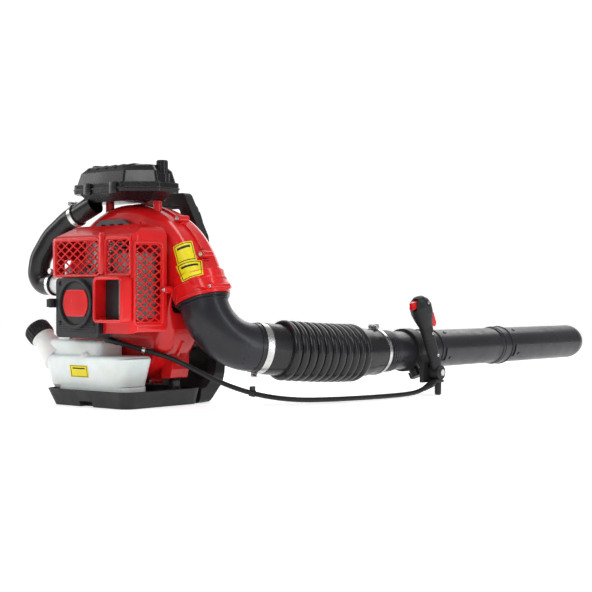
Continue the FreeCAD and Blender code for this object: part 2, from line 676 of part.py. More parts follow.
def cleaner_knob(x, y):
    knob = rod(V(x, y, 455), Z_DIR, 10.5, 32)
    for n in range(12):
        rib = rod(V(x + 10.5, y, 455), Z_DIR, 1.4, 30)
        rib.rotate(V(x, y, 0), Z_DIR, 30 * n)
        knob = knob.fuse(rib)
    return knob.fuse(rod(V(x, y, 433), Z_DIR, 3, 24))


def filter_element():
    return Part.makeLoft([cleaner_wire(42, 434, 6), cleaner_wire(42, 452, 6)], True)


def intake_duct():
    start = NECK_START + NECK_DIR * (NECK_LENGTH + 0.5)
    return hose([start] + DUCT_ROUTE, DUCT_RADII, DUCT_R, 18)


def duct_clamps():
    upper = clamp_band(NECK_START + NECK_DIR * (NECK_LENGTH + 7), NECK_DIR, DUCT_R + GAP, 9, Z_DIR)
    lower = clamp_band(V(-158.5, -86, 242), X_DIR, DUCT_R + GAP, 8, Z_DIR)
    return group([upper, lower])


def clamp_band(centre, heading, inner, width, screw_side):
    """A hose clamp: a band with a worm screw housing on one side."""
    side = screw_side - heading * heading.dot(screw_side)
    side.normalize()
    band = ring(centre - heading * (width / 2), heading, inner + 1.2, inner, width)
    across = heading.cross(side)
    body = rod(centre + side * (inner + 5) - across * 9, across, 4.5, 18)
    head = rod(centre + side * (inner + 5) + across * 9, across, 5.5, 4)
    saddle = rod(centre + side * (inner + 0.4) - across * 8, across, 2.6, 16)
    return join([band, body, head, saddle.cut(rod(centre - heading * 20, heading, inner + 0.01, 40))])


# Blower tube

ELBOW_START = COLLAR_RIM + COLLAR_DIR * ELBOW_STRAIGHT
ELBOW_ANGLE = math.degrees(COLLAR_DIR.getAngle(TUBE_DIR))
BEND_END = bend_end(ELBOW_START, COLLAR_DIR, TUBE_DIR, ELBOW_BEND, ELBOW_ANGLE)
TUBE_START = BEND_END + TUBE_DIR * ELBOW_STRAIGHT
KNEE = TUBE_START + TUBE_DIR * ((PIPE_X - TUBE_START.x) / TUBE_DIR.x)
PIPE_Z = KNEE.z
KNEE_TANGENT = 150.0
KNEE_ANGLE = math.degrees(TUBE_DIR.getAngle(Y_DIR))
KNEE_RADIUS = KNEE_TANGENT / math.tan(math.radians(KNEE_ANGLE / 2))
KNEE_START = KNEE - TUBE_DIR * KNEE_TANGENT
KNEE_END = KNEE + Y_DIR * KNEE_TANGENT


def elbow():
    spigot = ring(COLLAR_RIM - COLLAR_DIR * 34, COLLAR_DIR, ELBOW_R, ELBOW_BORE_R, 34 + ELBOW_STRAIGHT)
    bent = bend(ELBOW_START, COLLAR_DIR, TUBE_DIR, ELBOW_BEND, ELBOW_ANGLE, ELBOW_R, ELBOW_BORE_R)
    neck = ring(BEND_END, TUBE_DIR, ELBOW_R, 41, 6)
    nose = ring(BEND_END + TUBE_DIR * 5, TUBE_DIR, CUFF_R - 4.7, 41, 40)
    bead = ring(COLLAR_RIM + COLLAR_DIR * 0.6, COLLAR_DIR, COLLAR_R - 1, ELBOW_R - 1, 4)
    return join([spigot, bent, neck, nose, bead])


def bellows():
    """The ribbed rubber hose as a plain stepped tube: cuff, wide middle, cuff."""
    start = BEND_END + TUBE_DIR * 6.3
    straight = (KNEE_START - start).dot(TUBE_DIR)
    first = ring(start, TUBE_DIR, CUFF_R, 45, straight)
    share = (CUFF_LENGTH - straight) / (math.radians(KNEE_ANGLE) * KNEE_RADIUS)
    angle_1 = KNEE_ANGLE * share
    angle_2 = KNEE_ANGLE * 0.86
    pieces = [first]
    stretches = ((0, angle_1, CUFF_R), (angle_1, angle_2, CONVOLUTION_R), (angle_2, KNEE_ANGLE, CUFF_R))
    for low, high, radius in stretches:
        piece = bend(KNEE_START, TUBE_DIR, Y_DIR, KNEE_RADIUS, high - low, radius, 45)
        across = Y_DIR - TUBE_DIR * TUBE_DIR.dot(Y_DIR)
        across.normalize()
        piece.rotate(KNEE_START + across * KNEE_RADIUS, TUBE_DIR.cross(across), low)
        pieces.append(piece)
    pieces.append(ring(KNEE_END, Y_DIR, CUFF_R, 45, BELLOWS_END_Y - KNEE_END.y))
    return join(pieces)


def hose_clamps():
    rear = clamp_band(TUBE_START + TUBE_DIR * 14, TUBE_DIR, CUFF_R + 0.3, 16, V(0, 0, -1))
    front = clamp_band(V(PIPE_X, BELLOWS_END_Y - 7, PIPE_Z), Y_DIR, CUFF_R + 0.3, 9, V(0, 0, 1))
    return rear, front


def swivel_sleeve():
    inside_end = BELLOWS_END_Y - 34
    shape = ring(V(PIPE_X, inside_end, PIPE_Z), Y_DIR, 44.8, PIPE_R + GAP, SLEEVE_END_Y - inside_end)
    for n in range(5):
        shape = shape.fuse(ring(V(PIPE_X, BELLOWS_END_Y + 3 + 8 * n, PIPE_Z), Y_DIR, 46.6 - 0.3 * n, 44, 4))
    return shape


def pipe_tube(start_y, end_y, socket):
    """A plain pipe with a bayonet socket at its far end, and three low pips round each end."""
    shape = ring(V(PIPE_X, start_y, PIPE_Z), Y_DIR, PIPE_R, PIPE_BORE_R, end_y - start_y)
    if socket:
        flare_y = end_y - SOCKET_LENGTH
        profile = [(0, PIPE_BORE_R), (-4, PIPE_R), (0, SOCKET_R), (SOCKET_LENGTH, SOCKET_R),
                   (SOCKET_LENGTH, PIPE_R + GAP), (3, PIPE_R + GAP), (3, PIPE_BORE_R)]
        shape = shape.cut(ring(V(PIPE_X, flare_y, PIPE_Z), Y_DIR, PIPE_R + 1, PIPE_BORE_R - 1, SOCKET_LENGTH + 1))
        shape = shape.fuse(lathe(profile, V(PIPE_X, flare_y, PIPE_Z), Y_DIR))
    return shape


def raised_patch(y0, y1, angle_0, angle_1, height):
    """A low raised patch on a pipe, between two angles about the pipe's axis, from +X towards +Z."""
    low, high = PIPE_X + PIPE_R - 0.5, PIPE_X + PIPE_R + height
    corners = ((low, y0), (high, y0), (high, y1), (low, y1), (low, y0))
    band = Part.Face(Part.makePolygon([V(x, y, PIPE_Z) for x, y in corners]))
    patch = band.revolve(V(PIPE_X, 0, PIPE_Z), V(0, -1, 0), angle_1 - angle_0)
    patch.rotate(V(PIPE_X, 0, PIPE_Z), V(0, -1, 0), angle_0)
    return patch


def bayonet(socket_end_y):
    """The hooked lugs and pips that stand on the male pipe, just past the socket's mouth."""
    patches = []
    for turn in (0, 180):
        patches.append(raised_patch(socket_end_y + 1, socket_end_y + 20, turn - 42, turn - 36, 2.6))
        patches.append(raised_patch(socket_end_y + 14, socket_end_y + 20, turn - 42, turn + 4, 2.6))
        patches.append(raised_patch(socket_end_y + 1, socket_end_y + 8, turn - 2, turn + 6, 2.6))
    for turn in (60, 150, 240, 330):
        patches.append(raised_patch(socket_end_y + 34, socket_end_y + 42, turn - 4, turn + 4, 1.6))
    return patches


def swivel_pipe():
    return pipe_tube(BELLOWS_END_Y - 10, JOINT_1_Y, True)


def mid_pipe():
    shape = pipe_tube(JOINT_1_Y - SOCKET_LENGTH + 4, JOINT_2_Y, True)
    for patch in bayonet(JOINT_1_Y):
        shape = shape.fuse(patch)
    return shape


def nozzle():
    start = JOINT_2_Y - SOCKET_LENGTH + 4
    centre = V(PIPE_X, 0, PIPE_Z)
    bulge = PIPE_R - (PIPE_R - TIP_R) * 0.28
    mid_y = (TIP_START_Y + TIP_Y) / 2 + 4

    def at(y, radius):
        return centre + Y_DIR * y + X_DIR * radius

    edges = [
        Part.LineSegment(at(start, PIPE_R), at(TIP_START_Y, PIPE_R)).toShape(),
        Part.Arc(at(TIP_START_Y, PIPE_R), at(mid_y, bulge), at(TIP_Y, TIP_R)).toShape(),
        Part.LineSegment(at(TIP_Y, TIP_R), at(TIP_Y, TIP_R - 2.2)).toShape(),
        Part.Arc(at(TIP_Y, TIP_R - 2.2), at(mid_y, bulge - 2.2), at(TIP_START_Y, PIPE_BORE_R)).toShape(),
        Part.LineSegment(at(TIP_START_Y, PIPE_BORE_R), at(start, PIPE_BORE_R)).toShape(),
        Part.LineSegment(at(start, PIPE_BORE_R), at(start, PIPE_R)).toShape(),
    ]
    shape = Part.Face(Part.Wire(edges)).revolve(centre, Y_DIR, 360)
    for patch in bayonet(JOINT_2_Y):
        shape = shape.fuse(patch)
    return shape


# Handle

KNOB_DIR = V(0.46, 0, -0.89).normalize()


def handle_bracket():
    axis = V(PIPE_X, BRACKET_Y - 14, PIPE_Z)
    collar = rod(axis, Y_DIR, 47.5, 28)
    outline = [(336, 28), (346, 28), (346, 72), (334, 92), (322, 84), (336, 62)]
    arm = slab(outline, "XZ", BRACKET_Y - 12, BRACKET_Y + 36, 1.5)
    ear = rod(V(338, PIVOT.y, PIVOT.z), X_DIR, 15, 9)
    boss = rod(V(PIPE_X, BRACKET_Y, PIPE_Z) + KNOB_DIR * 40, KNOB_DIR, 11, 12)
    shape = join([collar, arm, ear, boss])
    shape = shape.cut(rod(V(PIPE_X, BRACKET_Y - 40, PIPE_Z), Y_DIR, PIPE_R, 100))
    shape = shape.cut(rod(V(PIPE_X, BRACKET_Y, PIPE_Z) + KNOB_DIR * 42, KNOB_DIR, 3 + FIT, 12))
    return shape.cut(rod(V(330, PIVOT.y, PIVOT.z), X_DIR, 3.9, 30)).fuse(foot_peg())


def handle_bolt():
    shank = rod(V(337, PIVOT.y, PIVOT.z), X_DIR, 3.9, 36)
    head = rod(V(372.3, PIVOT.y, PIVOT.z), X_DIR, 7, 4)
    return shank.fuse(head)


def foot_peg():
    """The peg below the bracket, which keeps the tube off the floor, and the plate that it stands on."""
    peg = lathe([(0, 0), (0, 8), (28, 7), (30, 5), (30, 0)], V(358, 567, 30), V(0, 0, -1))
    plate = slab([(337, 33.4), (368, 33.4), (368, 28), (337, 28)], "XZ", 544, 576, 1)
    end = V(CABLE_ROUTE[-1])
    gland = rod(end, (end - V(CABLE_ROUTE[-2])).normalize(), 7, 10)
    return peg.fuse(plate).fuse(gland)


def bracket_knob():
    start = V(PIPE_X, BRACKET_Y, PIPE_Z) + KNOB_DIR * 52.3
    knob = rod(start, KNOB_DIR, 13, 14)
    for n in range(8):
        lobe = rod(start + side_of(KNOB_DIR) * 12, KNOB_DIR, 3.2, 13)
        lobe.rotate(start, KNOB_DIR, 45 * n)
        knob = knob.fuse(lobe)
    return knob.fuse(rod(start - KNOB_DIR * 9, KNOB_DIR, 3, 10))


GRIP_TOP = V(352, 503, 206)
GRIP_LOW = V(359.7, 557, 66)


def handle_body():
    """Round grip with a bulbous head, leaning back, on a flat pivot eye."""
    heading = (GRIP_TOP - GRIP_LOW).normalize()
    profile = [(0, 0), (0, 12.2), (60, 13.5), (92, 15), (108, 20), (124, 24), (140, 24.5), (152, 20), (160, 11), (162, 0)]
    grip = lathe(profile, GRIP_LOW, heading)
    eye = rod(V(347.6, PIVOT.y, PIVOT.z), X_DIR, 16, 24.4)
    neck = rod(V(359.8, PIVOT.y, PIVOT.z + 4), heading, 12, 24)
    shape = join([grip, eye, neck])
    shape = shape.cut(rod(V(340, PIVOT.y, PIVOT.z), X_DIR, 3.9 + FIT, 40))
    trigger_slot = slab(trigger_slot_outline(), "YZ", 348, 360)
    switch_slot = slab([(478, 183), (496, 189), (490, 213), (470, 206)], "YZ", 348.5, 358.5)
    return shape.cut(trigger_slot).cut(switch_slot)


def trigger_slot_outline():
    return [(517, 136), (562, 136), (562, 203), (508, 203)]


def handle_halves():
    whole = handle_body()
    left = whole.common(box(300, 354.3, 400, 700, -50, 300))
    left = left.fuse(rod(V(346, TRIGGER_PIVOT.y, TRIGGER_PIVOT.z), X_DIR, 2, 15))
    right = whole.common(box(354.3, 420, 400, 700, -50, 300))
    right = right.cut(rod(V(346, TRIGGER_PIVOT.y, TRIGGER_PIVOT.z), X_DIR, 2, 15))
    return left, right


TRIGGER_PIVOT = V(0, 517, 196)


def throttle_trigger():
    outline = [(512, 200, 2), (524, 200, 3), (549, 182, 8), (560, 160, 4), (556, 151, 3), (547, 153, 4),
               (536, 170, 6), (517, 186, 2)]
    shape = slab(outline, "YZ", 349.2, 358.8)
    return shape.cut(rod(V(345, TRIGGER_PIVOT.y, TRIGGER_PIVOT.z), X_DIR, 2 + FIT, 20))


def stop_switch():
    return slab([(472, 187), (492.5, 192.6), (487, 207), (470, 202)], "YZ", 349.2, 357.8, 1.5)


# Control cable

def cable_clip():
    """The metal saddle that holds the cable at the tank's corner."""
    at = (V(CABLE_ROUTE[CLIP_POINT]) + V(CABLE_ROUTE[CLIP_POINT - 1])) * 0.5
    heading = V(CABLE_ROUTE[CLIP_POINT]).sub(V(CABLE_ROUTE[CLIP_POINT - 1])).normalize()
    return ring(at - heading * 3, heading, 6.8, 5.3, 6)


def cable_parts():
    route = [V(p) for p in CABLE_ROUTE]
    lengths = [route[i].distanceToPoint(route[i + 1]) for i in range(len(route) - 1)]
    radii = [0.0]
    for i in range(1, len(route) - 1):
        turn = (route[i] - route[i - 1]).getAngle(route[i + 1] - route[i])
        radii.append(0.45 * min(lengths[i - 1], lengths[i]) / math.tan(turn / 2))
    radii.append(0.0)
    print("cable arc radii:", [round(r) for r in radii])
    cuts = [0] + list(CABLE_SPLITS) + [len(route) - 2]
    pieces = []
    for n in range(3):
        first, last = cuts[n], cuts[n + 1]
        points = list(route[first:last + 2])
        bends = list(radii[first:last + 2])
        if n > 0:
            points[0] = (route[first] + route[first + 1]) * 0.5
            bends[0] = 0.0
        if n < 2:
            points[-1] = (route[last] + route[last + 1]) * 0.5
            bends[-1] = 0.0
        tube = hose(points, bends, CABLE_R)
        path = Part.Wire(rounded_edges(points, bends, False))
        expected = math.pi * CABLE_R ** 2 * path.Length
        print(f"cable piece {n + 1}: {path.Length:.0f} mm, volume ratio {tube.Volume / expected:.4f}")
        pieces.append(tube)
    return pieces


def cable_hook():
    run = CABLE_SPLITS[0]
    at = (V(CABLE_ROUTE[run]) + V(CABLE_ROUTE[run + 1])) * 0.5
    heading = V(CABLE_ROUTE[run + 1]).sub(V(CABLE_ROUTE[run])).normalize()
    sleeve = ring(at - heading * 14, heading, 7, 5.3, 12)
    hook = box(-2.5, 2.5, -6, 6, 6.2, 14)
    hook.translate(at - heading * 8)
    return sleeve.fuse(hook)


def main():
    os.makedirs("parts", exist_ok=True)
    case_rear, case_front = case_halves()
    tank, neck_dir = fuel_tank()
    clamp_rear, clamp_front = hose_clamps()
    handle_left, handle_right = handle_halves()
    cable_1, cable_2, cable_3 = cable_parts()
    nodes = {
        "base_tray": base_tray(),
        "back_frame": back_frame(),
        "back_pad": back_pad(),
        "shoulder_straps": group([strap_pad(-1), strap_pad(1)]),
        "strap_webbing": group([strap_webbing(-1), strap_webbing(1)]),
        "strap_buckles": group([strap_buckle(-1), strap_buckle(1)]),
        "vibration_mounts": mounts(),
        "fan_case_rear": case_rear,
        "fan_case_front": case_front,
        "housing_screws": group(case_screws() + starter_screws()),
        "intake_guard": intake_guard(),
        "impeller": impeller(),
        "crankshaft": crankshaft(),
        "flywheel": flywheel(),
        "crankcase": crankcase(),
        "cylinder": cylinder(),
        "piston": piston(),
        "spark_plug": spark_plug(),
        "muffler": muffler(),
        "intake_manifold": intake_manifold(),
        "carburettor": carburettor(),
        "throttle_shaft": throttle_shaft(),
        "ignition_coil": ignition_coil(),
        "engine_cover": engine_cover(),
        "air_guide": air_guide(),
        "starter_case": starter_case(),
        "starter_badge": starter_badge(),
        "starter_pulley": starter_pulley(),
        "starter_grip": starter_grip(),
        "starter_rope": starter_rope(),
        "fuel_tank": tank,
        "fuel_cap": fuel_cap(neck_dir),
        "fuel_line": fuel_line(),
        "air_cleaner_base": air_cleaner_base(),
        "air_cleaner_cover": air_cleaner_cover(),
        "filter_element": filter_element(),
        "cleaner_knob_right": cleaner_knob(*CLEANER_KNOBS[0]),
        "cleaner_knob_left": cleaner_knob(*CLEANER_KNOBS[1]),
        "intake_duct": intake_duct(),
        "duct_clamps": duct_clamps(),
        "elbow": elbow(),
        "bellows": bellows(),
        "clamp_rear": clamp_rear,
        "clamp_front": clamp_front,
        "swivel_sleeve": swivel_sleeve(),
        "swivel_pipe": swivel_pipe(),
        "mid_pipe": mid_pipe(),
        "nozzle": nozzle(),
        "handle_bracket": handle_bracket(),
        "bracket_knob": bracket_knob(),
        "handle_left": handle_left,
        "handle_right": handle_right,
        "throttle_trigger": throttle_trigger(),
        "stop_switch": stop_switch(),
        "cable_clip": cable_clip(),
        "cable_body": cable_1,
        "cable_middle": cable_2,
        "cable_handle": cable_3,
        "cable_hook": cable_hook(),
        "handle_bolt": handle_bolt(),
    }
    for node, shape in nodes.items():
        shape.exportStep(f"parts/{node}.step")
    print(len(nodes), "nodes; pipe axis at Z", round(PIPE_Z, 2))
    for node, shape in nodes.items():
        if not shape.isValid() or len(shape.Solids) != 1:
            print(node, "valid" if shape.isValid() else "INVALID", len(shape.Solids), "solids")


main()
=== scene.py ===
"""Looks of the backpack leaf blower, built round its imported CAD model.

Metres, in the frame of the CAD: +X is the wearer's right, +Y forward along the blower tube, +Z up.
Lengths that are easier to read in millimetres are multiplied by MM.
"""

import json
import math

import bmesh
import bpy
from mathutils import Vector
from mathutils.bvhtree import BVHTree
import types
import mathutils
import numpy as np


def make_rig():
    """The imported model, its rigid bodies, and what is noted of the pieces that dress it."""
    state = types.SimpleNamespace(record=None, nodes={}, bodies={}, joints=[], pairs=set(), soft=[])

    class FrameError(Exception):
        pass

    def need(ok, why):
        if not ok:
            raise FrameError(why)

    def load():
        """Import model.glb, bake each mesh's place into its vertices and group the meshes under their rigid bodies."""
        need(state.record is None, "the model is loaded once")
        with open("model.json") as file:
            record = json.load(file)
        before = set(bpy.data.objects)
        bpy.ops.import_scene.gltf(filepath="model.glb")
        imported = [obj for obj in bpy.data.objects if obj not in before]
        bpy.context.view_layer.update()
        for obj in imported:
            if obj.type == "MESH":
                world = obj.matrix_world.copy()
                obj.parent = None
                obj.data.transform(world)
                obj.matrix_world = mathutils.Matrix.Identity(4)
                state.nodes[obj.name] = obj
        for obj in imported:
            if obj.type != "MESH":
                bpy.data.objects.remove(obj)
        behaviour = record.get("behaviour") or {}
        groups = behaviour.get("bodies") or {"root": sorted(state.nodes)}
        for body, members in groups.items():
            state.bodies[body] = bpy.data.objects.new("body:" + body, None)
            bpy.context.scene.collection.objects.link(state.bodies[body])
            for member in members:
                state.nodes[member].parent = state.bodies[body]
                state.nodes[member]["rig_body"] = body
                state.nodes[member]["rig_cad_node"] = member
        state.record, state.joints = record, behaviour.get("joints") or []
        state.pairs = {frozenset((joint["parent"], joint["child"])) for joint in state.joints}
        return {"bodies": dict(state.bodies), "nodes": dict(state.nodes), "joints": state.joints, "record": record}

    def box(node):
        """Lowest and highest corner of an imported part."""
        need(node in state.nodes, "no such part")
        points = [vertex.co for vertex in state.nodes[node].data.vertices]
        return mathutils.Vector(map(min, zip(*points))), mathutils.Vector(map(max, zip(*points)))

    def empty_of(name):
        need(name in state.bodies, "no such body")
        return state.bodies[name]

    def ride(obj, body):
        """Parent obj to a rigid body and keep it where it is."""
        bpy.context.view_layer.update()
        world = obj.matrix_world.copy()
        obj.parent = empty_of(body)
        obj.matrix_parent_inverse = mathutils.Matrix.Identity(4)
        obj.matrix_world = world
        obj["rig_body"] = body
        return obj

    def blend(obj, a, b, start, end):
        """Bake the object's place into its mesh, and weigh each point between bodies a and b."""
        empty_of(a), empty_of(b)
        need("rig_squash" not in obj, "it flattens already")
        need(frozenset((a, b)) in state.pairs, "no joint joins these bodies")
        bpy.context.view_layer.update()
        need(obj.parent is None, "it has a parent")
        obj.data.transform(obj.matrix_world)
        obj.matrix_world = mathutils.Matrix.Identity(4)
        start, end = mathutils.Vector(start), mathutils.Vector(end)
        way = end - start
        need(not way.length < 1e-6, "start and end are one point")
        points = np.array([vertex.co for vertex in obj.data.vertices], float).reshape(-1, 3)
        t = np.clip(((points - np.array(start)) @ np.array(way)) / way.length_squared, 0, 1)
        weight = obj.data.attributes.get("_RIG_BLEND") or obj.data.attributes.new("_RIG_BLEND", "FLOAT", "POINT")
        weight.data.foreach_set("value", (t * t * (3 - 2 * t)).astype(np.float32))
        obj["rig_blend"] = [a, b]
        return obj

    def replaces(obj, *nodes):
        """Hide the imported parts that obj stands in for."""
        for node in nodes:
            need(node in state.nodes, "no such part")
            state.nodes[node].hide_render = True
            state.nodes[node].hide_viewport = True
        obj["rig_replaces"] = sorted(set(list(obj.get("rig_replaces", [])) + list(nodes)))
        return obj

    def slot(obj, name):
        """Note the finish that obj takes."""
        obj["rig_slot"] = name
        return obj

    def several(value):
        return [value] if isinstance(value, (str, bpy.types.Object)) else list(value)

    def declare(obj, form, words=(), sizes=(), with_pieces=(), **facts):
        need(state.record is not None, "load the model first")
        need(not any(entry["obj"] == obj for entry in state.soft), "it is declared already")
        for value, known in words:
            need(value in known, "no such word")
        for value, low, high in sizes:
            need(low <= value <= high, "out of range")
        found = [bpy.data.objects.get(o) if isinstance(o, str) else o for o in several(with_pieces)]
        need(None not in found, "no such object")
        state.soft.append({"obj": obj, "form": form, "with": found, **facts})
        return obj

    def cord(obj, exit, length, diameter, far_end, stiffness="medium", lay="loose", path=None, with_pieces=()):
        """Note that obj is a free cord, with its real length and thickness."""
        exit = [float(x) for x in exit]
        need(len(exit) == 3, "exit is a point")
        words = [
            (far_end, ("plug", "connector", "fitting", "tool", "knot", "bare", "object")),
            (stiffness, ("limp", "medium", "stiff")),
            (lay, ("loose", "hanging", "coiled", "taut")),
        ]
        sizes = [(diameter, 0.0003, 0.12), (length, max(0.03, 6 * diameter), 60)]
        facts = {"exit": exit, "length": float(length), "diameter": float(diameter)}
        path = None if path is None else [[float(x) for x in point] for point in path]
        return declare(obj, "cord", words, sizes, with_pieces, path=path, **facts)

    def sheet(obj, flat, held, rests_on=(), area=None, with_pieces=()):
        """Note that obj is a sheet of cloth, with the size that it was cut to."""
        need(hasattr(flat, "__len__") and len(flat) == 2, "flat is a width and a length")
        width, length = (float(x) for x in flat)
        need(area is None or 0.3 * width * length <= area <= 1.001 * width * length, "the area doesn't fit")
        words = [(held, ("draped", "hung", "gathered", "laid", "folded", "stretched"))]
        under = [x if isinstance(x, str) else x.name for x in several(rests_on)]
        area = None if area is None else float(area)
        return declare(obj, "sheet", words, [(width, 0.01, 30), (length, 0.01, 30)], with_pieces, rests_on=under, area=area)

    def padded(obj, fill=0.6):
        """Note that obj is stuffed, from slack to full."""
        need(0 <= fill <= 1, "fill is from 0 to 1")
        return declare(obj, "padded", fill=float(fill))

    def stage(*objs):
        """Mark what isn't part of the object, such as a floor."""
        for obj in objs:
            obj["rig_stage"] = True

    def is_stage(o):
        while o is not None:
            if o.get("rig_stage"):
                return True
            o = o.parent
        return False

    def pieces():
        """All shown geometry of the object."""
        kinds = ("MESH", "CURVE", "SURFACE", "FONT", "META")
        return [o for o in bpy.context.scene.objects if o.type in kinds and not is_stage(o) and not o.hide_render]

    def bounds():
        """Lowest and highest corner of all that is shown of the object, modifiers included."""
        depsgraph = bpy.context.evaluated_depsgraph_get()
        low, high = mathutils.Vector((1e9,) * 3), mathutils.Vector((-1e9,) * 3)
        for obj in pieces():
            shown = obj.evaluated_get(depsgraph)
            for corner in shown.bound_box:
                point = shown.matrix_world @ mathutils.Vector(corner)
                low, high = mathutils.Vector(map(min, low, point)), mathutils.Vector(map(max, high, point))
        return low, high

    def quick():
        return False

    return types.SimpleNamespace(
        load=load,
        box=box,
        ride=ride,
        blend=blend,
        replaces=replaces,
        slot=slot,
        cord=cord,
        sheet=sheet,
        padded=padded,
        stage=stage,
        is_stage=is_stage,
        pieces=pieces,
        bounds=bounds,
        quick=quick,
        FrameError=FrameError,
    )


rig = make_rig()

MM = 0.001
X_AXIS, Y_AXIS, Z_AXIS = Vector((1, 0, 0)), Vector((0, 1, 0)), Vector((0, 0, 1))

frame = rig.load()
cad_low, cad_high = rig.bounds()


def at(x, y, z):
    return Vector((x, y, z)) * MM


# Driving dimensions, as in the CAD
CRANK = at(0, 0, 204)
COLLAR_RIM = at(187, 0, 210)
COLLAR_DIR = Vector((0.326, 0, -0.9454)).normalized()
TUBE_DIR = Vector((0.297, 0.948, -0.111)).normalized()
PIPE = (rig.box("nozzle")[0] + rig.box("nozzle")[1]) / 2      # a point on the axis of the straight pipes
ELBOW_BEND = 97 * MM
ELBOW_STRAIGHT = 10 * MM
KNEE_TANGENT = 150 * MM
CUFF_LENGTH = 65 * MM
SOCKET_MOUTHS = (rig.box("swivel_pipe")[1].y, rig.box("mid_pipe")[1].y)

# The control cable's route, as in the CAD
CABLE_ROUTE = [
    at(38, -116, 134), at(56, -104, 127), at(80, -82, 117), at(107, -58, 107.5), at(128, -25, 94.5),
    at(136.7, 15, 76.5), at(170, 52, 50), at(220, 80, 29), at(265, 110, 17), at(300, 161, 10),
    at(320, 232, 8), at(335, 313, 7), at(345, 427, 6), at(350, 490, 8), at(354, 518, 15.5), at(358, 540, 25),
]
CABLE_SPLITS = (7, 11)
CABLE_RADIUS = 5 * MM


# Mesh building

def make_object(name, vertices, faces, material, smooth=True):
    mesh = bpy.data.meshes.new(name)
    mesh.from_pydata([tuple(v) for v in vertices], [], faces)
    mesh.update()
    mesh.materials.append(material)
    if smooth:
        mesh.shade_smooth()
    piece = bpy.data.objects.new(name, mesh)
    bpy.context.scene.collection.objects.link(piece)
    return piece


def join_pieces(name, pieces):
    """Joins meshes with one material into the first one."""
    whole = bmesh.new()
    for piece in pieces:
        mesh = piece.data
        mesh.transform(piece.matrix_world)
        whole.from_mesh(mesh)
    first = pieces[0]
    whole.to_mesh(first.data)
    whole.free()
    for piece in pieces[1:]:
        bpy.data.objects.remove(piece)
    first.name = name
    return first


def apply_modifiers(piece):
    depsgraph = bpy.context.evaluated_depsgraph_get()
    mesh = bpy.data.meshes.new_from_object(piece.evaluated_get(depsgraph))
    piece.modifiers.clear()
    piece.data = mesh
    return piece


def nurbs_line(points):
    """The points of the smooth curve that has these points as its control points."""
    curve = bpy.data.curves.new("route", "CURVE")
    curve.dimensions = "3D"
    spline = curve.splines.new("NURBS")
    spline.points.add(len(points) - 1)
    for spot, point in zip(spline.points, points):
        spot.co = (*point, 1)
    spline.order_u = 3
    spline.use_endpoint_u = True
    holder = bpy.data.objects.new("route", curve)
    mesh = bpy.data.meshes.new_from_object(holder)
    line = [v.co.copy() for v in mesh.vertices]
    bpy.data.objects.remove(holder)
    return line


def frames_along(line, closed=False):
    """For each point of a line its heading and a side direction that doesn't twist."""
    count = len(line)
    headings = []
    for i in range(count):
        before = line[i - 1] if closed or i else line[0]
        after = line[(i + 1) % count] if closed or i < count - 1 else line[-1]
        headings.append((after - before).normalized())
    side = headings[0].orthogonal().normalized()
    frames = []
    for heading in headings:
        side = (side - heading * side.dot(heading)).normalized()
        frames.append((heading, side))
    return frames


def tube_faces(count, sides, closed=False):
    """Faces between rings of points. closed joins last ring to first; otherwise both ends get a cap."""
    faces = []
    for i in range(count if closed else count - 1):
        for n in range(sides):
            a, b = i * sides + n, i * sides + (n + 1) % sides
            c, d = ((i + 1) % count) * sides + (n + 1) % sides, ((i + 1) % count) * sides + n
            faces.append((a, b, c, d))
    if not closed:
        faces.append(tuple(reversed(range(sides))))
        faces.append(tuple(range((count - 1) * sides, count * sides)))
    return faces


def axes_across(direction):
    """The direction at unit length, and two unit directions square to it."""
    direction = Vector(direction).normalized()
    side = direction.orthogonal().normalized()
    return direction, side, direction.cross(side)


def sweep(name, line, radius, material, sides=24, closed=False, flatten=1.0, up=None):
    """A tube along a line. radius is one number, or one for each point; flatten squeezes it along up."""
    radii = radius if hasattr(radius, "__len__") else [radius] * len(line)
    vertices = []
    for point, r, (heading, side) in zip(line, radii, frames_along(line, closed)):
        if up is not None:
            side = heading.cross(up).normalized()
        other = heading.cross(side)
        for n in range(sides):
            turn = 2 * math.pi * n / sides
            vertices.append(point + side * (r * math.cos(turn)) + other * (r * flatten * math.sin(turn)))
    piece = make_object(name, vertices, tube_faces(len(line), sides, closed), material)
    mark_sharp(piece, 50)
    return piece


def mark_sharp(piece, degrees):
    piece.data.set_sharp_from_angle(angle=math.radians(degrees))


def turned(name, profile, start, direction, material, sides=64):
    """A turned piece: (distance along the axis, radius) points, closed if the first one is repeated."""
    direction, side, other = axes_across(direction)
    closed = profile[0] == profile[-1]
    points = profile[:-1] if closed else profile
    vertices = []
    for s, r in points:
        for n in range(sides):
            turn = 2 * math.pi * n / sides
            vertices.append(start + direction * s + side * (r * math.cos(turn))
                            + other * (r * math.sin(turn)))
    piece = make_object(name, vertices, tube_faces(len(points), sides, closed), material)
    mesh = bmesh.new()
    mesh.from_mesh(piece.data)
    bmesh.ops.recalc_face_normals(mesh, faces=mesh.faces)
    mesh.to_mesh(piece.data)
    mesh.free()
    mark_sharp(piece, 35)
    return piece


def bead_ring(centre, direction, radius, thick, material, flatten=1.0, sides=96):
    """A closed bead round an axis."""
    direction, side, other = axes_across(direction)
    line = []
    for n in range(sides):
        turn = 2 * math.pi * n / sides
        line.append(centre + side * (radius * math.cos(turn)) + other * (radius * math.sin(turn)))
    return sweep("bead", line, thick, material, sides=10, closed=True, flatten=flatten, up=direction)


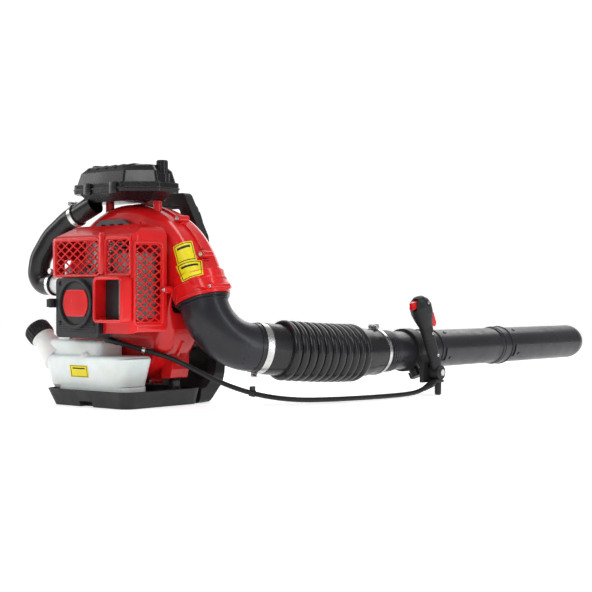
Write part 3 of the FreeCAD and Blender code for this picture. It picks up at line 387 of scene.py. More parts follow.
def rounded_outline(corners, rounding, steps=5):
    """A closed line through flat corners, each replaced by a quarter-like arc of the given reach."""
    line = []
    count = len(corners)
    for i, corner in enumerate(corners):
        before = (corners[i - 1] - corner).normalized() * rounding
        after = (corners[(i + 1) % count] - corner).normalized() * rounding
        for n in range(steps + 1):
            t = n / steps
            line.append(corner + before * (1 - t) ** 2 + after * t ** 2)
    return line


def rounded_box(name, low, high, material, rounding=1.5 * MM):
    """A moulded block with rounded edges."""
    mesh = bmesh.new()
    bmesh.ops.create_cube(mesh, size=1)
    middle, size = (low + high) / 2, high - low
    for v in mesh.verts:
        v.co = middle + Vector((v.co.x * size.x, v.co.y * size.y, v.co.z * size.z))
    bmesh.ops.bevel(mesh, geom=list(mesh.edges), offset=rounding, segments=3, affect="EDGES", profile=0.5)
    data = bpy.data.meshes.new(name)
    mesh.to_mesh(data)
    mesh.free()
    data.materials.append(material)
    data.shade_smooth()
    piece = bpy.data.objects.new(name, data)
    bpy.context.scene.collection.objects.link(piece)
    mark_sharp(piece, 40)
    return piece


def surface_tree(*nodes):
    """The faces of CAD nodes, for dropping pieces onto them."""
    vertices, polygons = [], []
    for node in nodes:
        mesh = frame["nodes"][node].data
        base = len(vertices)
        vertices += [v.co.copy() for v in mesh.vertices]
        polygons += [[base + i for i in p.vertices] for p in mesh.polygons]
    return BVHTree.FromPolygons(vertices, polygons)


# Materials

def add(tree, kind, **settings):
    made = tree.nodes.new(kind)
    for key, value in settings.items():
        setattr(made, key, value)
    return made


def new_material(name):
    material = bpy.data.materials.new(name)
    material.use_nodes = True
    return material, material.node_tree, material.node_tree.nodes["Principled BSDF"]


def noise_value(tree, scale, detail=3.0, stretch=(1, 1, 1)):
    place = add(tree, "ShaderNodeTexCoord")
    mapping = add(tree, "ShaderNodeMapping")
    mapping.inputs["Scale"].default_value = stretch
    texture = add(tree, "ShaderNodeTexNoise")
    texture.inputs["Scale"].default_value = scale
    texture.inputs["Detail"].default_value = detail
    tree.links.new(place.outputs["Object"], mapping.inputs["Vector"])
    tree.links.new(mapping.outputs["Vector"], texture.inputs["Vector"])
    return texture.outputs["Fac"]


def remap(tree, value, from_low, from_high, low, high):
    made = add(tree, "ShaderNodeMapRange", clamp=True)
    tree.links.new(value, made.inputs["Value"])
    numbers = {"From Min": from_low, "From Max": from_high, "To Min": low, "To Max": high}
    for socket, number in numbers.items():
        made.inputs[socket].default_value = number
    return made.outputs["Result"]


def mix_colours(tree, factor, first, second):
    made = add(tree, "ShaderNodeMix", data_type="RGBA")
    tree.links.new(factor, made.inputs[0])
    for socket, colour in ((made.inputs[6], first), (made.inputs[7], second)):
        if isinstance(colour, bpy.types.NodeSocket):
            tree.links.new(colour, socket)
        else:
            socket.default_value = (*colour, 1)
    return made.outputs[2]


def calculate(tree, operation, first, second):
    made = add(tree, "ShaderNodeMath", operation=operation)
    for socket, value in zip(made.inputs, (first, second)):
        if isinstance(value, bpy.types.NodeSocket):
            tree.links.new(value, socket)
        else:
            socket.default_value = value
    return made.outputs[0]


def shades(colour, low, high):
    return [min(1.0, c * low) for c in colour], [min(1.0, c * high + 0.002) for c in colour]


def edge_wear(tree, radius, amount):
    """Where an edge is within the radius, broken up by noise; and the normal with that edge rounded off."""
    rounded = add(tree, "ShaderNodeBevel", samples=4)
    rounded.inputs["Radius"].default_value = radius
    geometry = add(tree, "ShaderNodeNewGeometry")
    turn = add(tree, "ShaderNodeVectorMath", operation="DOT_PRODUCT")
    tree.links.new(rounded.outputs["Normal"], turn.inputs[0])
    tree.links.new(geometry.outputs["Normal"], turn.inputs[1])
    near_edge = remap(tree, turn.outputs["Value"], 0.99, 0.88, 0.0, amount)
    broken = remap(tree, noise_value(tree, 260, 4), 0.4, 0.62, 0.0, 1.0)
    return calculate(tree, "MULTIPLY", near_edge, broken), rounded.outputs["Normal"]


def wire_surface(tree, shader, tone, roughness, height, strength, normal=None, distance=0.001):
    """Leads colour, roughness and a bump from height into the shader; the bump starts from normal."""
    bump = add(tree, "ShaderNodeBump")
    bump.inputs["Strength"].default_value = strength
    bump.inputs["Distance"].default_value = distance
    tree.links.new(height, bump.inputs["Height"])
    if normal:
        tree.links.new(normal, bump.inputs["Normal"])
    outputs = {"Base Color": tone, "Roughness": roughness, "Normal": bump.outputs["Normal"]}
    for socket, value in outputs.items():
        tree.links.new(value, shader.inputs[socket])


PLASTIC_SPECULAR = 0.32


def moulded(name, colour, roughness, coat=0.0, grain_scale=1500, grain_depth=0.03, wear=0.35,
            rounding=0.9 * MM, worn=None, dust=0.0):
    """Moulded plastic or rubber: drifting shade and gloss, fine grain, rubbed edges, a little dust."""
    material, tree, shader = new_material(name)
    low, high = shades(colour, 0.84, 1.12)
    tone = mix_colours(tree, remap(tree, noise_value(tree, 11, 4), 0.3, 0.7, 0, 1), low, high)
    rubbed, normal = edge_wear(tree, rounding, wear)
    tone = mix_colours(tree, rubbed, tone, worn or [min(1.0, c * 1.5 + 0.05) for c in colour])
    if dust:
        geometry = add(tree, "ShaderNodeNewGeometry")
        split = add(tree, "ShaderNodeSeparateXYZ")
        tree.links.new(geometry.outputs["Normal"], split.inputs[0])
        upward = remap(tree, split.outputs["Z"], 0.5, 1.0, 0.0, dust)
        patchy = remap(tree, noise_value(tree, 55, 6), 0.35, 0.7, 0.0, 1.0)
        tone = mix_colours(tree, calculate(tree, "MULTIPLY", upward, patchy), tone, (0.42, 0.4, 0.37))
    dullest = min(1.0, roughness * 1.3 + 0.02)
    smears = remap(tree, noise_value(tree, 38, 5), 0.3, 0.72, roughness * 0.82, dullest)
    wire_surface(tree, shader, tone, smears, noise_value(tree, grain_scale, 2), grain_depth, normal)
    shader.inputs["Specular IOR Level"].default_value = PLASTIC_SPECULAR
    shader.inputs["Coat Weight"].default_value = coat
    shader.inputs["Coat Roughness"].default_value = 0.06
    return material


def metal(name, colour, roughness, stretch=(1, 1, 1), scale=300, depth=0.05):
    """Bare metal with brushing or casting grain and a little darker tarnish."""
    material, tree, shader = new_material(name)
    low, high = shades(colour, 0.72, 1.05)
    tone = mix_colours(tree, remap(tree, noise_value(tree, 45, 5), 0.35, 0.7, 0, 1), high, low)
    rubbed, normal = edge_wear(tree, 0.5 * MM, 0.5)
    tone = mix_colours(tree, rubbed, tone, (0.86, 0.86, 0.85))
    grain = noise_value(tree, scale, 3, stretch)
    gloss = remap(tree, grain, 0.3, 0.7, roughness * 0.8, roughness * 1.4)
    wire_surface(tree, shader, tone, gloss, grain, depth, normal)
    shader.inputs["Metallic"].default_value = 1.0
    return material


def woven(name, colour, threads, depth, across=("X", "Z")):
    """Cloth with a plain weave of so many threads a metre, running along two of the axes."""
    material, tree, shader = new_material(name)
    place = add(tree, "ShaderNodeTexCoord")
    split = add(tree, "ShaderNodeSeparateXYZ")
    tree.links.new(place.outputs["Object"], split.inputs[0])
    waves = []
    for axis in across:
        phase = calculate(tree, "MULTIPLY", split.outputs[axis], threads * 2 * math.pi)
        waves.append(calculate(tree, "SINE", phase, 0.0))
    weave = calculate(tree, "MULTIPLY", waves[0], waves[1])
    height = remap(tree, weave, -1, 1, 0, 1)
    low, high = shades(colour, 0.6, 1.5)
    tone = mix_colours(tree, height, low, high)
    faded = remap(tree, noise_value(tree, 16, 5), 0.4, 0.75, 0.0, 0.4)
    tone = mix_colours(tree, faded, tone, [c * 1.9 + 0.012 for c in colour])
    gloss = remap(tree, noise_value(tree, 90, 3), 0.3, 0.7, 0.72, 0.92)
    wire_surface(tree, shader, tone, gloss, height, depth, distance=0.0006)
    shader.inputs["Sheen Weight"].default_value = 0.25
    shader.inputs["Sheen Roughness"].default_value = 0.5
    return material


def milky(name):
    """The tank's translucent polyethylene: soft, slightly mottled, with a faint moulding grain."""
    material, tree, shader = new_material(name)
    tone = mix_colours(tree, remap(tree, noise_value(tree, 18, 5), 0.3, 0.7, 0, 1), (0.78, 0.78, 0.76),
                       (0.93, 0.93, 0.91))
    rubbed, normal = edge_wear(tree, 1.5 * MM, 0.25)
    tone = mix_colours(tree, rubbed, tone, (0.97, 0.97, 0.95))
    gloss = remap(tree, noise_value(tree, 60, 3), 0.3, 0.7, 0.28, 0.42)
    wire_surface(tree, shader, tone, gloss, noise_value(tree, 420, 3), 0.05, normal)
    shader.inputs["Subsurface Weight"].default_value = 0.35
    shader.inputs["Subsurface Scale"].default_value = 0.01
    return material


RED = moulded("red_gloss", (0.74, 0.009, 0.011), 0.2, coat=0.35, grain_depth=0.012, worn=(0.80, 0.10, 0.09),
              dust=0.03)
BLACK = moulded("black_gloss", (0.008, 0.0082, 0.0098), 0.24, coat=0.2, grain_depth=0.05, dust=0.03)
BLACK_GRAINED = moulded("black_grained", (0.014, 0.0145, 0.016), 0.42, grain_scale=900, grain_depth=0.16,
                        dust=0.04)
TUBE = moulded("tube_grey", (0.017, 0.0172, 0.0225), 0.3, coat=0.1, grain_depth=0.04)
GREY = moulded("grey_satin", (0.10, 0.10, 0.105), 0.45)
RUBBER = moulded("rubber", (0.0075, 0.0077, 0.0095), 0.27, coat=0.2, grain_depth=0.05, wear=0.15)
CABLE_SKIN = moulded("cable_skin", (0.012, 0.012, 0.0135), 0.4, grain_depth=0.05, wear=0.0)
TANK = milky("tank_white")
STEEL = metal("zinc_steel", (0.72, 0.72, 0.71), 0.22, stretch=(1, 1, 14))
ALUMINIUM = metal("cast_aluminium", (0.62, 0.62, 0.63), 0.42, scale=700, depth=0.2)
HEAT_STAINED = metal("muffler_steel", (0.36, 0.35, 0.34), 0.42, scale=200, depth=0.1)
PAD_CLOTH = woven("pad_mesh_cloth", (0.017, 0.017, 0.019), 420, 0.55)
WEBBING = woven("strap_webbing", (0.02, 0.02, 0.022), 620, 0.7)
ROPE = woven("rope_braid", (0.55, 0.55, 0.52), 700, 0.7, across=("X", "Y"))
PAPER = moulded("filter_foam", (0.10, 0.10, 0.11), 0.9, grain_depth=0.5, wear=0.0)
YELLOW = moulded("sticker_yellow", (0.93, 0.78, 0.012), 0.35, grain_depth=0.01, wear=0.0)
INK = moulded("sticker_black", (0.02, 0.02, 0.02), 0.4, grain_depth=0.01, wear=0.0)
STARTER_BLACK = moulded("starter_black", (0.019, 0.0195, 0.022), 0.38, grain_scale=900, grain_depth=0.14)

MATERIALS = {
    RED: ["fan_case_rear", "fan_case_front", "engine_cover", "starter_badge", "throttle_trigger",
          "stop_switch"],
    BLACK: ["air_cleaner_base", "air_cleaner_cover", "cleaner_knob_right", "cleaner_knob_left", "fuel_cap",
            "strap_buckles"],
    BLACK_GRAINED: ["base_tray", "back_frame", "intake_guard", "handle_bracket", "bracket_knob",
                    "handle_left", "handle_right", "starter_grip"],
    STARTER_BLACK: ["starter_case"],
    TUBE: ["elbow", "swivel_sleeve", "swivel_pipe", "mid_pipe", "nozzle"],
    GREY: ["impeller", "air_guide", "intake_manifold", "starter_pulley"],
    RUBBER: ["intake_duct", "vibration_mounts", "fuel_line", "cable_hook"],
    TANK: ["fuel_tank"],
    STEEL: ["clamp_rear", "clamp_front", "duct_clamps", "housing_screws", "cable_clip", "handle_bolt",
            "spark_plug", "throttle_shaft", "crankshaft"],
    ALUMINIUM: ["crankcase", "cylinder", "flywheel", "carburettor", "piston"],
    HEAT_STAINED: ["muffler", "ignition_coil"],
    PAPER: ["filter_element"],
}
for finish, names in MATERIALS.items():
    for node_name in names:
        slots = frame["nodes"][node_name].data.materials
        slots.clear()
        slots.append(finish)


# Control cable: one smooth line in three pieces, cut where it passes from body to body

def halfway(run):
    return (CABLE_ROUTE[run] + CABLE_ROUTE[run + 1]) / 2


def cable_lines():
    line = nurbs_line(CABLE_ROUTE)
    cuts = [0]
    for run in CABLE_SPLITS:
        spot = halfway(run)
        nearest = min(range(len(line)), key=lambda i: (line[i] - spot).length)
        line[nearest] = spot
        cuts.append(nearest)
    cuts.append(len(line) - 1)
    return [line[a:b + 1] for a, b in zip(cuts, cuts[1:])]


def length_of(line):
    return sum((b - a).length for a, b in zip(line, line[1:]))


def make_cable():
    first, middle, last = cable_lines()
    hook_spot, sleeve_spot = first[-1], middle[-1]
    stretches = [
        ("cable_from_engine", "cable_body", first, "root", "elbow", CABLE_ROUTE[4],
         hook_spot - TUBE_DIR * 10 * MM),
        ("cable_along_hose", "cable_middle", middle, "elbow", "cuff", hook_spot, sleeve_spot),
        ("cable_to_handle", "cable_handle", last, "cuff", "pipe", sleeve_spot, CABLE_ROUTE[-2]),
    ]
    for name, node, line, body_a, body_b, start, end in stretches:
        piece = sweep(name, line, CABLE_RADIUS, CABLE_SKIN, sides=20)
        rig.blend(piece, body_a, body_b, start=start, end=end)
        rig.replaces(piece, node)
        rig.slot(piece, "rubber")
        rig.cord(piece, exit=line[0], length=round(length_of(line), 3), diameter=2 * CABLE_RADIUS,
                far_end="object", stiffness="medium", lay="loose", path=line)


def make_cable_boots():
    """Tapered ribbed boots where the cable leaves the machine and where it enters the handle bracket."""
    for name, body, end, inner in (("cable_boot_engine", "root", CABLE_ROUTE[0], CABLE_ROUTE[1]),
                                   ("cable_boot_bracket", "pipe", CABLE_ROUTE[-1], CABLE_ROUTE[-2])):
        direction = (inner - end).normalized()
        profile = [(0, 5.2), (-3, 8), (3, 8)]
        for n in range(5):
            profile += [(3 + 4 * n, 7.6 - 0.4 * n), (5 + 4 * n, 7.6 - 0.4 * n), (5.2 + 4 * n, 6.4 - 0.2 * n),
                        (6.8 + 4 * n, 6.4 - 0.2 * n)]
        profile += [(24, 5.3), (0, 5.2)]
        boot = turned(name, [(s * MM, r * MM) for s, r in profile], end, direction, RUBBER, sides=32)
        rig.ride(boot, body)
        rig.slot(boot, "rubber")


make_cable()
make_cable_boots()


# Ribbed hose between the elbow and the swivel sleeve

def hose_line():
    """The hose's centreline: straight out of the elbow, one long bend, straight into the sleeve."""
    bend_angle = COLLAR_DIR.angle(TUBE_DIR)
    across = (TUBE_DIR - COLLAR_DIR * COLLAR_DIR.dot(TUBE_DIR)).normalized()
    bend_start = COLLAR_RIM + COLLAR_DIR * ELBOW_STRAIGHT
    bend_end = bend_start + COLLAR_DIR * (ELBOW_BEND * math.sin(bend_angle)) + across * (
        ELBOW_BEND * (1 - math.cos(bend_angle)))
    tube_start = bend_end + TUBE_DIR * ELBOW_STRAIGHT
    knee = tube_start + TUBE_DIR * ((PIPE.x - tube_start.x) / TUBE_DIR.x)
    knee_angle = TUBE_DIR.angle(Y_AXIS)
    knee_radius = KNEE_TANGENT / math.tan(knee_angle / 2)
    knee_start = knee - TUBE_DIR * KNEE_TANGENT
    knee_end = knee + Y_AXIS * KNEE_TANGENT
    inward = (Y_AXIS - TUBE_DIR * TUBE_DIR.dot(Y_AXIS)).normalized()
    first = bend_end + TUBE_DIR * 6.3 * MM
    end_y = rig.box("bellows")[1].y
    straight, arc, rest = (knee_start - first).dot(TUBE_DIR), knee_radius * knee_angle, end_y - knee_end.y
    line, total, step = [], straight + arc + rest, 0.85 * MM
    count = int(total / step)
    for n in range(count + 1):
        s = total * n / count
        if s < straight:
            line.append(first + TUBE_DIR * s)
        elif s < straight + arc:
            turn = (s - straight) / knee_radius
            line.append(knee_start + TUBE_DIR * (knee_radius * math.sin(turn)) + inward * (
                knee_radius * (1 - math.cos(turn))))
        else:
            line.append(knee_end + Y_AXIS * (s - straight - arc))
    return line, total


RIB_COUNT = 11
SECOND_CUFF = 80 * MM


def hose_radius(s, total):
    """Cuff with a step, eleven round corrugations, cuff."""
    ribs_end = total - SECOND_CUFF
    if s < 22 * MM:
        return 49 * MM
    if s < CUFF_LENGTH:
        return (49 + 2.4 * min(1, (s - 22 * MM) / (3 * MM))) * MM
    if s < ribs_end:
        phase = (s - CUFF_LENGTH) / (ribs_end - CUFF_LENGTH) * RIB_COUNT % 1
        crest = math.sqrt(max(0.0, 1 - (2 * phase - 1) ** 2))
        return (50 + 11 * crest ** 0.65) * MM
    if s < ribs_end + 34 * MM:
        return 51.2 * MM
    return 49 * MM


def make_hose():
    line, total = hose_line()
    radii = [hose_radius(total * i / (len(line) - 1), total) for i in range(len(line))]
    hose = sweep("ribbed_hose", line, radii, RUBBER, sides=96)
    mark_sharp(hose, 60)
    cuff_end = line[int(len(line) * CUFF_LENGTH / total)]
    second_cuff = line[int(len(line) * (1 - SECOND_CUFF / total))]
    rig.blend(hose, "elbow", "cuff", start=cuff_end, end=second_cuff)
    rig.replaces(hose, "bellows")
    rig.slot(hose, "rubber")


make_hose()


# Starter rope: two strands laid together, from the pulley to the grip

def make_starter_rope():
    low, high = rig.box("starter_rope")
    middle, radius = (low + high) / 2, (high.z - low.z) / 2
    strands = []
    for n in range(2):
        line = []
        for i in range(61):
            x = high.x + (low.x - high.x) * i / 60
            turn = math.pi * n + (high.x - x) / (6 * MM) * 2 * math.pi
            line.append(Vector((x, middle.y + 0.5 * radius * math.cos(turn),
                                middle.z + 0.5 * radius * math.sin(turn))))
        strands.append(sweep("strand", line, 0.5 * radius, ROPE, sides=10))
    rope = join_pieces("starter_rope_strands", strands)
    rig.blend(rope, "root", "grip", start=(high.x, middle.y, middle.z), end=(low.x, middle.y, middle.z))
    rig.replaces(rope, "starter_rope")
    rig.slot(rope, "pad_fabric")


make_starter_rope()


# Padding: a cushion between two edge curves, puffed up by a cloth simulation, then sewn channels

def padded_block(name, line, half_width, thick, material, columns):
    """A closed pad along a line in the YZ plane; half_width and thick are functions of the share along it."""
    vertices = []
    around = 2 * columns
    for i, (point, (heading, _)) in enumerate(zip(line, frames_along(line))):
        share = i / (len(line) - 1)
        out = X_AXIS.cross(heading)
        wide, half = half_width(share), thick(share) / 2
        for n in range(around):
            turn = 2 * math.pi * n / around
            c, s = math.cos(turn), math.sin(turn)
            x = wide * math.copysign(abs(c) ** 0.35, c)
            y = half * math.copysign(abs(s) ** 0.6, s)
            vertices.append(point + X_AXIS * x + out * y)
    return make_object(name, vertices, tube_faces(len(line), around), material)


def puff(piece, cap, voxel=5 * MM):
    """Swells a closed pad with cloth pressure; no point moves further than cap."""
    remesh = piece.modifiers.new("remesh", "REMESH")
    remesh.mode = "VOXEL"
    remesh.voxel_size = voxel
    apply_modifiers(piece)
    rest = [v.co.copy() for v in piece.data.vertices]
    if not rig.quick():
        cloth = piece.modifiers.new("cloth", "CLOTH")
        cloth.settings.use_pressure = True
        cloth.settings.uniform_pressure_force = 4
        cloth.settings.effector_weights.gravity = 0
        cloth.point_cache.frame_start, cloth.point_cache.frame_end = 1, 20
        for step in range(1, 21):
            bpy.context.scene.frame_set(step)
        apply_modifiers(piece)
        bpy.context.scene.frame_set(1)
    for v, start in zip(piece.data.vertices, rest):
        moved = v.co - start
        if moved.length > cap:
            v.co = start + moved.normalized() * cap
    subdivide = piece.modifiers.new("subdivide", "SUBSURF")
    subdivide.levels = subdivide.render_levels = 1
    apply_modifiers(piece)
    piece.data.shade_smooth()
    return piece


def groove(piece, distance, width, depth):
    """Pulls the surface in, along its normal, where distance(point) is under width: a sewn channel."""
    moved = []
    for v in piece.data.vertices:
        d = distance(v.co)
        if d < width:
            moved.append((v.index, v.co - v.normal * (depth * (0.5 + 0.5 * math.cos(math.pi * d / width)))))
    for index, place in moved:
        piece.data.vertices[index].co = place


PAD_SIDE = [at(0, 139.5, 72), at(0, 131.5, 130), at(0, 124.5, 200), at(0, 118.5, 270), at(0, 114.5, 333)]


def make_back_pad():
    line = nurbs_line(PAD_SIDE)
    half_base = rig.box("back_pad")[1].x - 3 * MM
    top_narrow = 14 * MM

    def half_width(share):
        corner = min(1.0, min(share, 1 - share) / 0.07)
        full = half_base - top_narrow * share
        return full - 24 * MM * (1 - math.sqrt(max(0.0, 1 - (1 - corner) ** 2)))

    def thick(share):
        return 14 * MM * (0.35 + 0.65 * min(1.0, min(share, 1 - share) / 0.05))

    pad = puff(padded_block("back_pad_cushion", line, half_width, thick, PAD_CLOTH, columns=28), 2.5 * MM)
    for z in (126, 180, 234, 288):
        groove(pad, lambda co, z=z: abs(co.z - z * MM), 6 * MM, 3 * MM)
    for side in (-1, 1):
        groove(pad, lambda co, side=side: abs(co.x - side * 62 * MM), 5 * MM, 2.4 * MM)
    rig.replaces(pad, "back_pad")
    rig.slot(pad, "pad_fabric")
    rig.padded(pad, fill=0.7)
    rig.ride(pad, "root")


STRAP_LINE = [
    at(0, 99.5, 407), at(0, 111, 405), at(0, 138, 342), at(0, 159, 250), at(0, 166, 160), at(0, 163, 110),
]
STRAP_SPACING = 43      # mm from the middle of the back to the middle of each strap


def make_strap(side, name):
    line = [point + X_AXIS * (side * STRAP_SPACING * MM) for point in nurbs_line(STRAP_LINE)]

    def half_width(share):
        return (23.5 - 5 * max(0.0, share - 0.85) / 0.15) * MM

    def thick(share):
        return 8.5 * MM * (0.55 + 0.45 * min(1.0, min(share + 0.02, 1 - share) / 0.06))

    strap = puff(padded_block(name, line, half_width, thick, PAD_CLOTH, columns=14), 1.3 * MM, voxel=3.5 * MM)
    for edge in (-1, 1):
        seam_x = (side * STRAP_SPACING + edge * 17) * MM
        groove(strap, lambda co, seam_x=seam_x: abs(co.x - seam_x), 3.4 * MM, 1.3 * MM)
    for z in range(140, 400, 32):
        groove(strap, lambda co, z=z: abs(co.z - z * MM), 4 * MM, 1.2 * MM)
    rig.slot(strap, "pad_fabric")
    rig.padded(strap, fill=0.6)
    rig.ride(strap, "root")
    return strap


WEBBING_LINE = [at(0, 162.1, 107), at(0, 162.1, 84), at(0, 146.8, 57), at(0, 127, 45.6)]
WEBBING_WIDTH = 26 * MM


def make_webbing(side):
    """A flat strap as a ribbon with a little thickness and raised selvedges."""
    line = nurbs_line(WEBBING_LINE)
    thick = 1.5 * MM
    vertices, faces = [], []
    columns = 8
    for point, (heading, _) in zip(line, frames_along(line)):
        out = X_AXIS.cross(heading)
        for layer in (-1, 1):
            for n in range(columns + 1):
                share = n / columns
                edge = 1.0 if n in (0, columns) else 0.78
                x = side * STRAP_SPACING * MM + (share - 0.5) * WEBBING_WIDTH
                vertices.append(Vector((x, point.y, point.z)) + out * (layer * edge * thick / 2))
    ring_size = 2 * (columns + 1)
    order = list(range(columns + 1)) + list(range(ring_size - 1, columns, -1))
    for i in range(len(line) - 1):
        for n in range(ring_size):
            a, b = order[n], order[(n + 1) % ring_size]
            here, beyond = i * ring_size, (i + 1) * ring_size
            faces.append((here + a, here + b, beyond + b, beyond + a))
    faces.append(tuple(reversed(order)))
    faces.append(tuple((len(line) - 1) * ring_size + n for n in order))
    ribbon = make_object("webbing_" + ("right" if side > 0 else "left"), vertices, faces, WEBBING)
    mark_sharp(ribbon, 50)
    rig.slot(ribbon, "pad_fabric")
    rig.ride(ribbon, "root")
    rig.sheet(ribbon, flat=(WEBBING_WIDTH, round(length_of(line), 3)), held="hung", rests_on=["strap_buckles"])
    return ribbon


make_back_pad()
straps = [make_strap(side, name) for side, name in ((-1, "strap_pad_left"), (1, "strap_pad_right"))]
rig.replaces(straps[0], "shoulder_straps")
ribbons = [make_webbing(side) for side in (-1, 1)]
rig.replaces(ribbons[0], "strap_webbing")


# Small helpers for details

def give(piece, body, slot, name=None):
    if name:
        piece.name = name
    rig.slot(piece, slot)
    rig.ride(piece, body)
    return piece


def screw_head(name, place, direction, radius, body, material=STEEL, slot="bright_steel"):
    """A domed screw head with a hexagon socket."""
    sides = 48
    direction, side, other = axes_across(direction)
    rings = [(0, 1.0, False), (0.5, 1.0, False), (0.62, 0.86, False), (0.62, 0.5, True), (0.2, 0.5, True)]
    vertices = []
    for height, wide, hexagonal in rings:
        for n in range(sides):
            turn = 2 * math.pi * n / sides
            reach = radius * wide
            if hexagonal:
                reach *= math.cos(math.pi / 6) / math.cos((turn + math.pi / 6) % (math.pi / 3) - math.pi / 6)
            vertices.append(place + direction * (height * radius) + side * (reach * math.cos(turn))
                            + other * (reach * math.sin(turn)))
    head = make_object(name, vertices, tube_faces(len(rings), sides), material)
    mark_sharp(head, 35)
    return give(head, body, slot)


def frame_bead(name, corners, rounding, radius, material, up, flatten=0.7):
    """A bead along a closed outline with rounded corners."""
    return sweep(name, rounded_outline(corners, rounding), radius, material, sides=12, closed=True,
                 flatten=flatten, up=up)


# Engine cover: raised frames round the grilles, the rib between them, the lug at its edge

def make_cover_details():
    cover_low, cover_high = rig.box("engine_cover")
    rear = cover_low.y + 25 * MM        # the grille wall lies 25 mm behind the face of the exhaust frame
    beads = []
    for low_x, high_x, low_z, high_z in ((-77, 54.5, 256.5, 330), (72, 142, 257, 330)):
        corners = [Vector((x * MM, rear - 0.3 * MM, z * MM)) for x, z in
                   ((low_x, low_z), (high_x, low_z), (high_x, high_z), (low_x, high_z))]
        beads.append(frame_bead("bead", corners, 9 * MM, 3.0 * MM, RED, Y_AXIS))
    corners = [Vector((cover_high.x + 0.3 * MM, y * MM, z * MM)) for y, z in
               ((-146, 163), (-72, 163), (-72, 321), (-146, 321))]
    beads.append(frame_bead("bead", corners, 9 * MM, 3.0 * MM, RED, X_AXIS))
    low = Vector((57 * MM, rear - 5 * MM, 259 * MM))
    beads.append(rounded_box("bead", low, low + at(12.5, 8, 82), RED, 3.5 * MM))
    give(join_pieces("cover_frames", beads), "root", "red_plastic")

    exhaust = [(67, 170), (143, 170), (143, 252), (67, 252)]
    corners = [Vector((x * MM, cover_low.y + 1.5 * MM, z * MM)) for x, z in exhaust]
    rim = frame_bead("exhaust_rim", corners, 10 * MM, 3.4 * MM, RED, Y_AXIS, flatten=1.0)
    give(rim, "root", "red_plastic")

    lug = turned("cover_lug", [(0, 5.5 * MM), (1 * MM, 7 * MM), (20 * MM, 7 * MM), (21 * MM, 6 * MM)],
                 at(154, -74, 230), Y_AXIS, RED, sides=32)
    give(lug, "root", "red_plastic")
    screw_head("cover_lug_screw", at(154, -73.8, 230), -Y_AXIS, 4.2 * MM, "root")


def make_exhaust_louvres_and_shade_plate():
    """Louvres that show inside the exhaust frame, and beside them a dark plate that is painted shade, standing in for
    the shadow inside the opening.
    """
    blades = []
    for n in range(8):
        low = at(112, -151, 177 + 9.2 * n)
        blades.append(rounded_box("blade", low, low + at(26, 2.2, 5.0), HEAT_STAINED, 1.0 * MM))
    for x in (110, 138):
        low = at(x - 1.5, -150, 174)
        blades.append(rounded_box("blade", low, low + at(3, 2.4, 75), HEAT_STAINED, 1.0 * MM))
    give(join_pieces("exhaust_louvres", blades), "root", "bright_steel")
    # Painted shade: a dark plate put where the exhaust opening shows only shadow.
    shade_plate = rounded_box("exhaust_shade_plate", at(70.5, -148.6, 173.5), at(109, -147.2, 249), STARTER_BLACK,
                         0.6 * MM)
    give(shade_plate, "root", "black_plastic")


# Starter: raised rings and vent slots on its round face

def make_starter_details():
    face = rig.box("starter_case")[0].y
    sizes = ((0.4, 46, 2.6, 0.6), (4.6, 40.5, 1.4, 0.8))      # depth, ring radius, bead radius, flattening
    rings = [bead_ring(Vector((0, face + depth * MM, CRANK.z)), Y_AXIS, radius * MM, thick * MM,
                       STARTER_BLACK, flatten) for depth, radius, thick, flatten in sizes]
    for n in range(36):
        turn = 2 * math.pi * n / 36
        out = Vector((math.cos(turn), 0, math.sin(turn)))
        start = Vector((0, face + 1.2 * MM, CRANK.z)) + out * 41.2 * MM
        rings.append(sweep("tooth", [start, start + out * 2.6 * MM], 0.9 * MM, STARTER_BLACK, sides=8))
    give(join_pieces("starter_rings", rings), "root", "black_plastic")
    badge = ((-24.5, -25.4), (24.5, -25.4), (35.4, 0), (24.5, 25.4), (-24.5, 25.4), (-35.4, 0))
    badge_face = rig.box("starter_badge")[0].y + 0.2 * MM
    corners = [Vector((x * MM, badge_face, CRANK.z + z * MM)) for x, z in badge]
    rim = frame_bead("badge_rim", corners, 11 * MM, 0.9 * MM, RED, Y_AXIS)
    give(rim, "root", "red_plastic")
    bars = []
    for n in range(5):
        low = at(-56, -161.2, 146 + 4.4 * n)
        bars.append(rounded_box("bar", low, low + at(112, 2.4, 2.0), STARTER_BLACK, 0.8 * MM))
    give(join_pieces("starter_louvres", bars), "root", "black_plastic")
    grip_low, grip_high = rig.box("starter_grip")
    middle = (grip_low + grip_high) / 2
    half_x = (grip_high.x - grip_low.x) / 2 - 1.1 * MM
    half_z = (grip_high.z - grip_low.z) / 2 + 0.2 * MM
    ribs = []
    for n in range(-3, 4):
        centre = middle + Vector((0, n * 6 * MM, 0))
        corners = [centre + Vector((x * half_x, 0, z * half_z))
                   for x, z in ((-1, -1), (1, -1), (1, 1), (-1, 1))]
        ribs.append(frame_bead("rib", corners, 4 * MM, 0.9 * MM, BLACK_GRAINED, Y_AXIS, flatten=1.0))
    give(join_pieces("grip_ribs", ribs), "grip", "red_plastic")


# Fan case: collar bead, webs behind the screw towers, stickers

FAN_SCREWS = ((288, 204.5), (314, 209.6))     # degrees past the tongue, scroll radius there


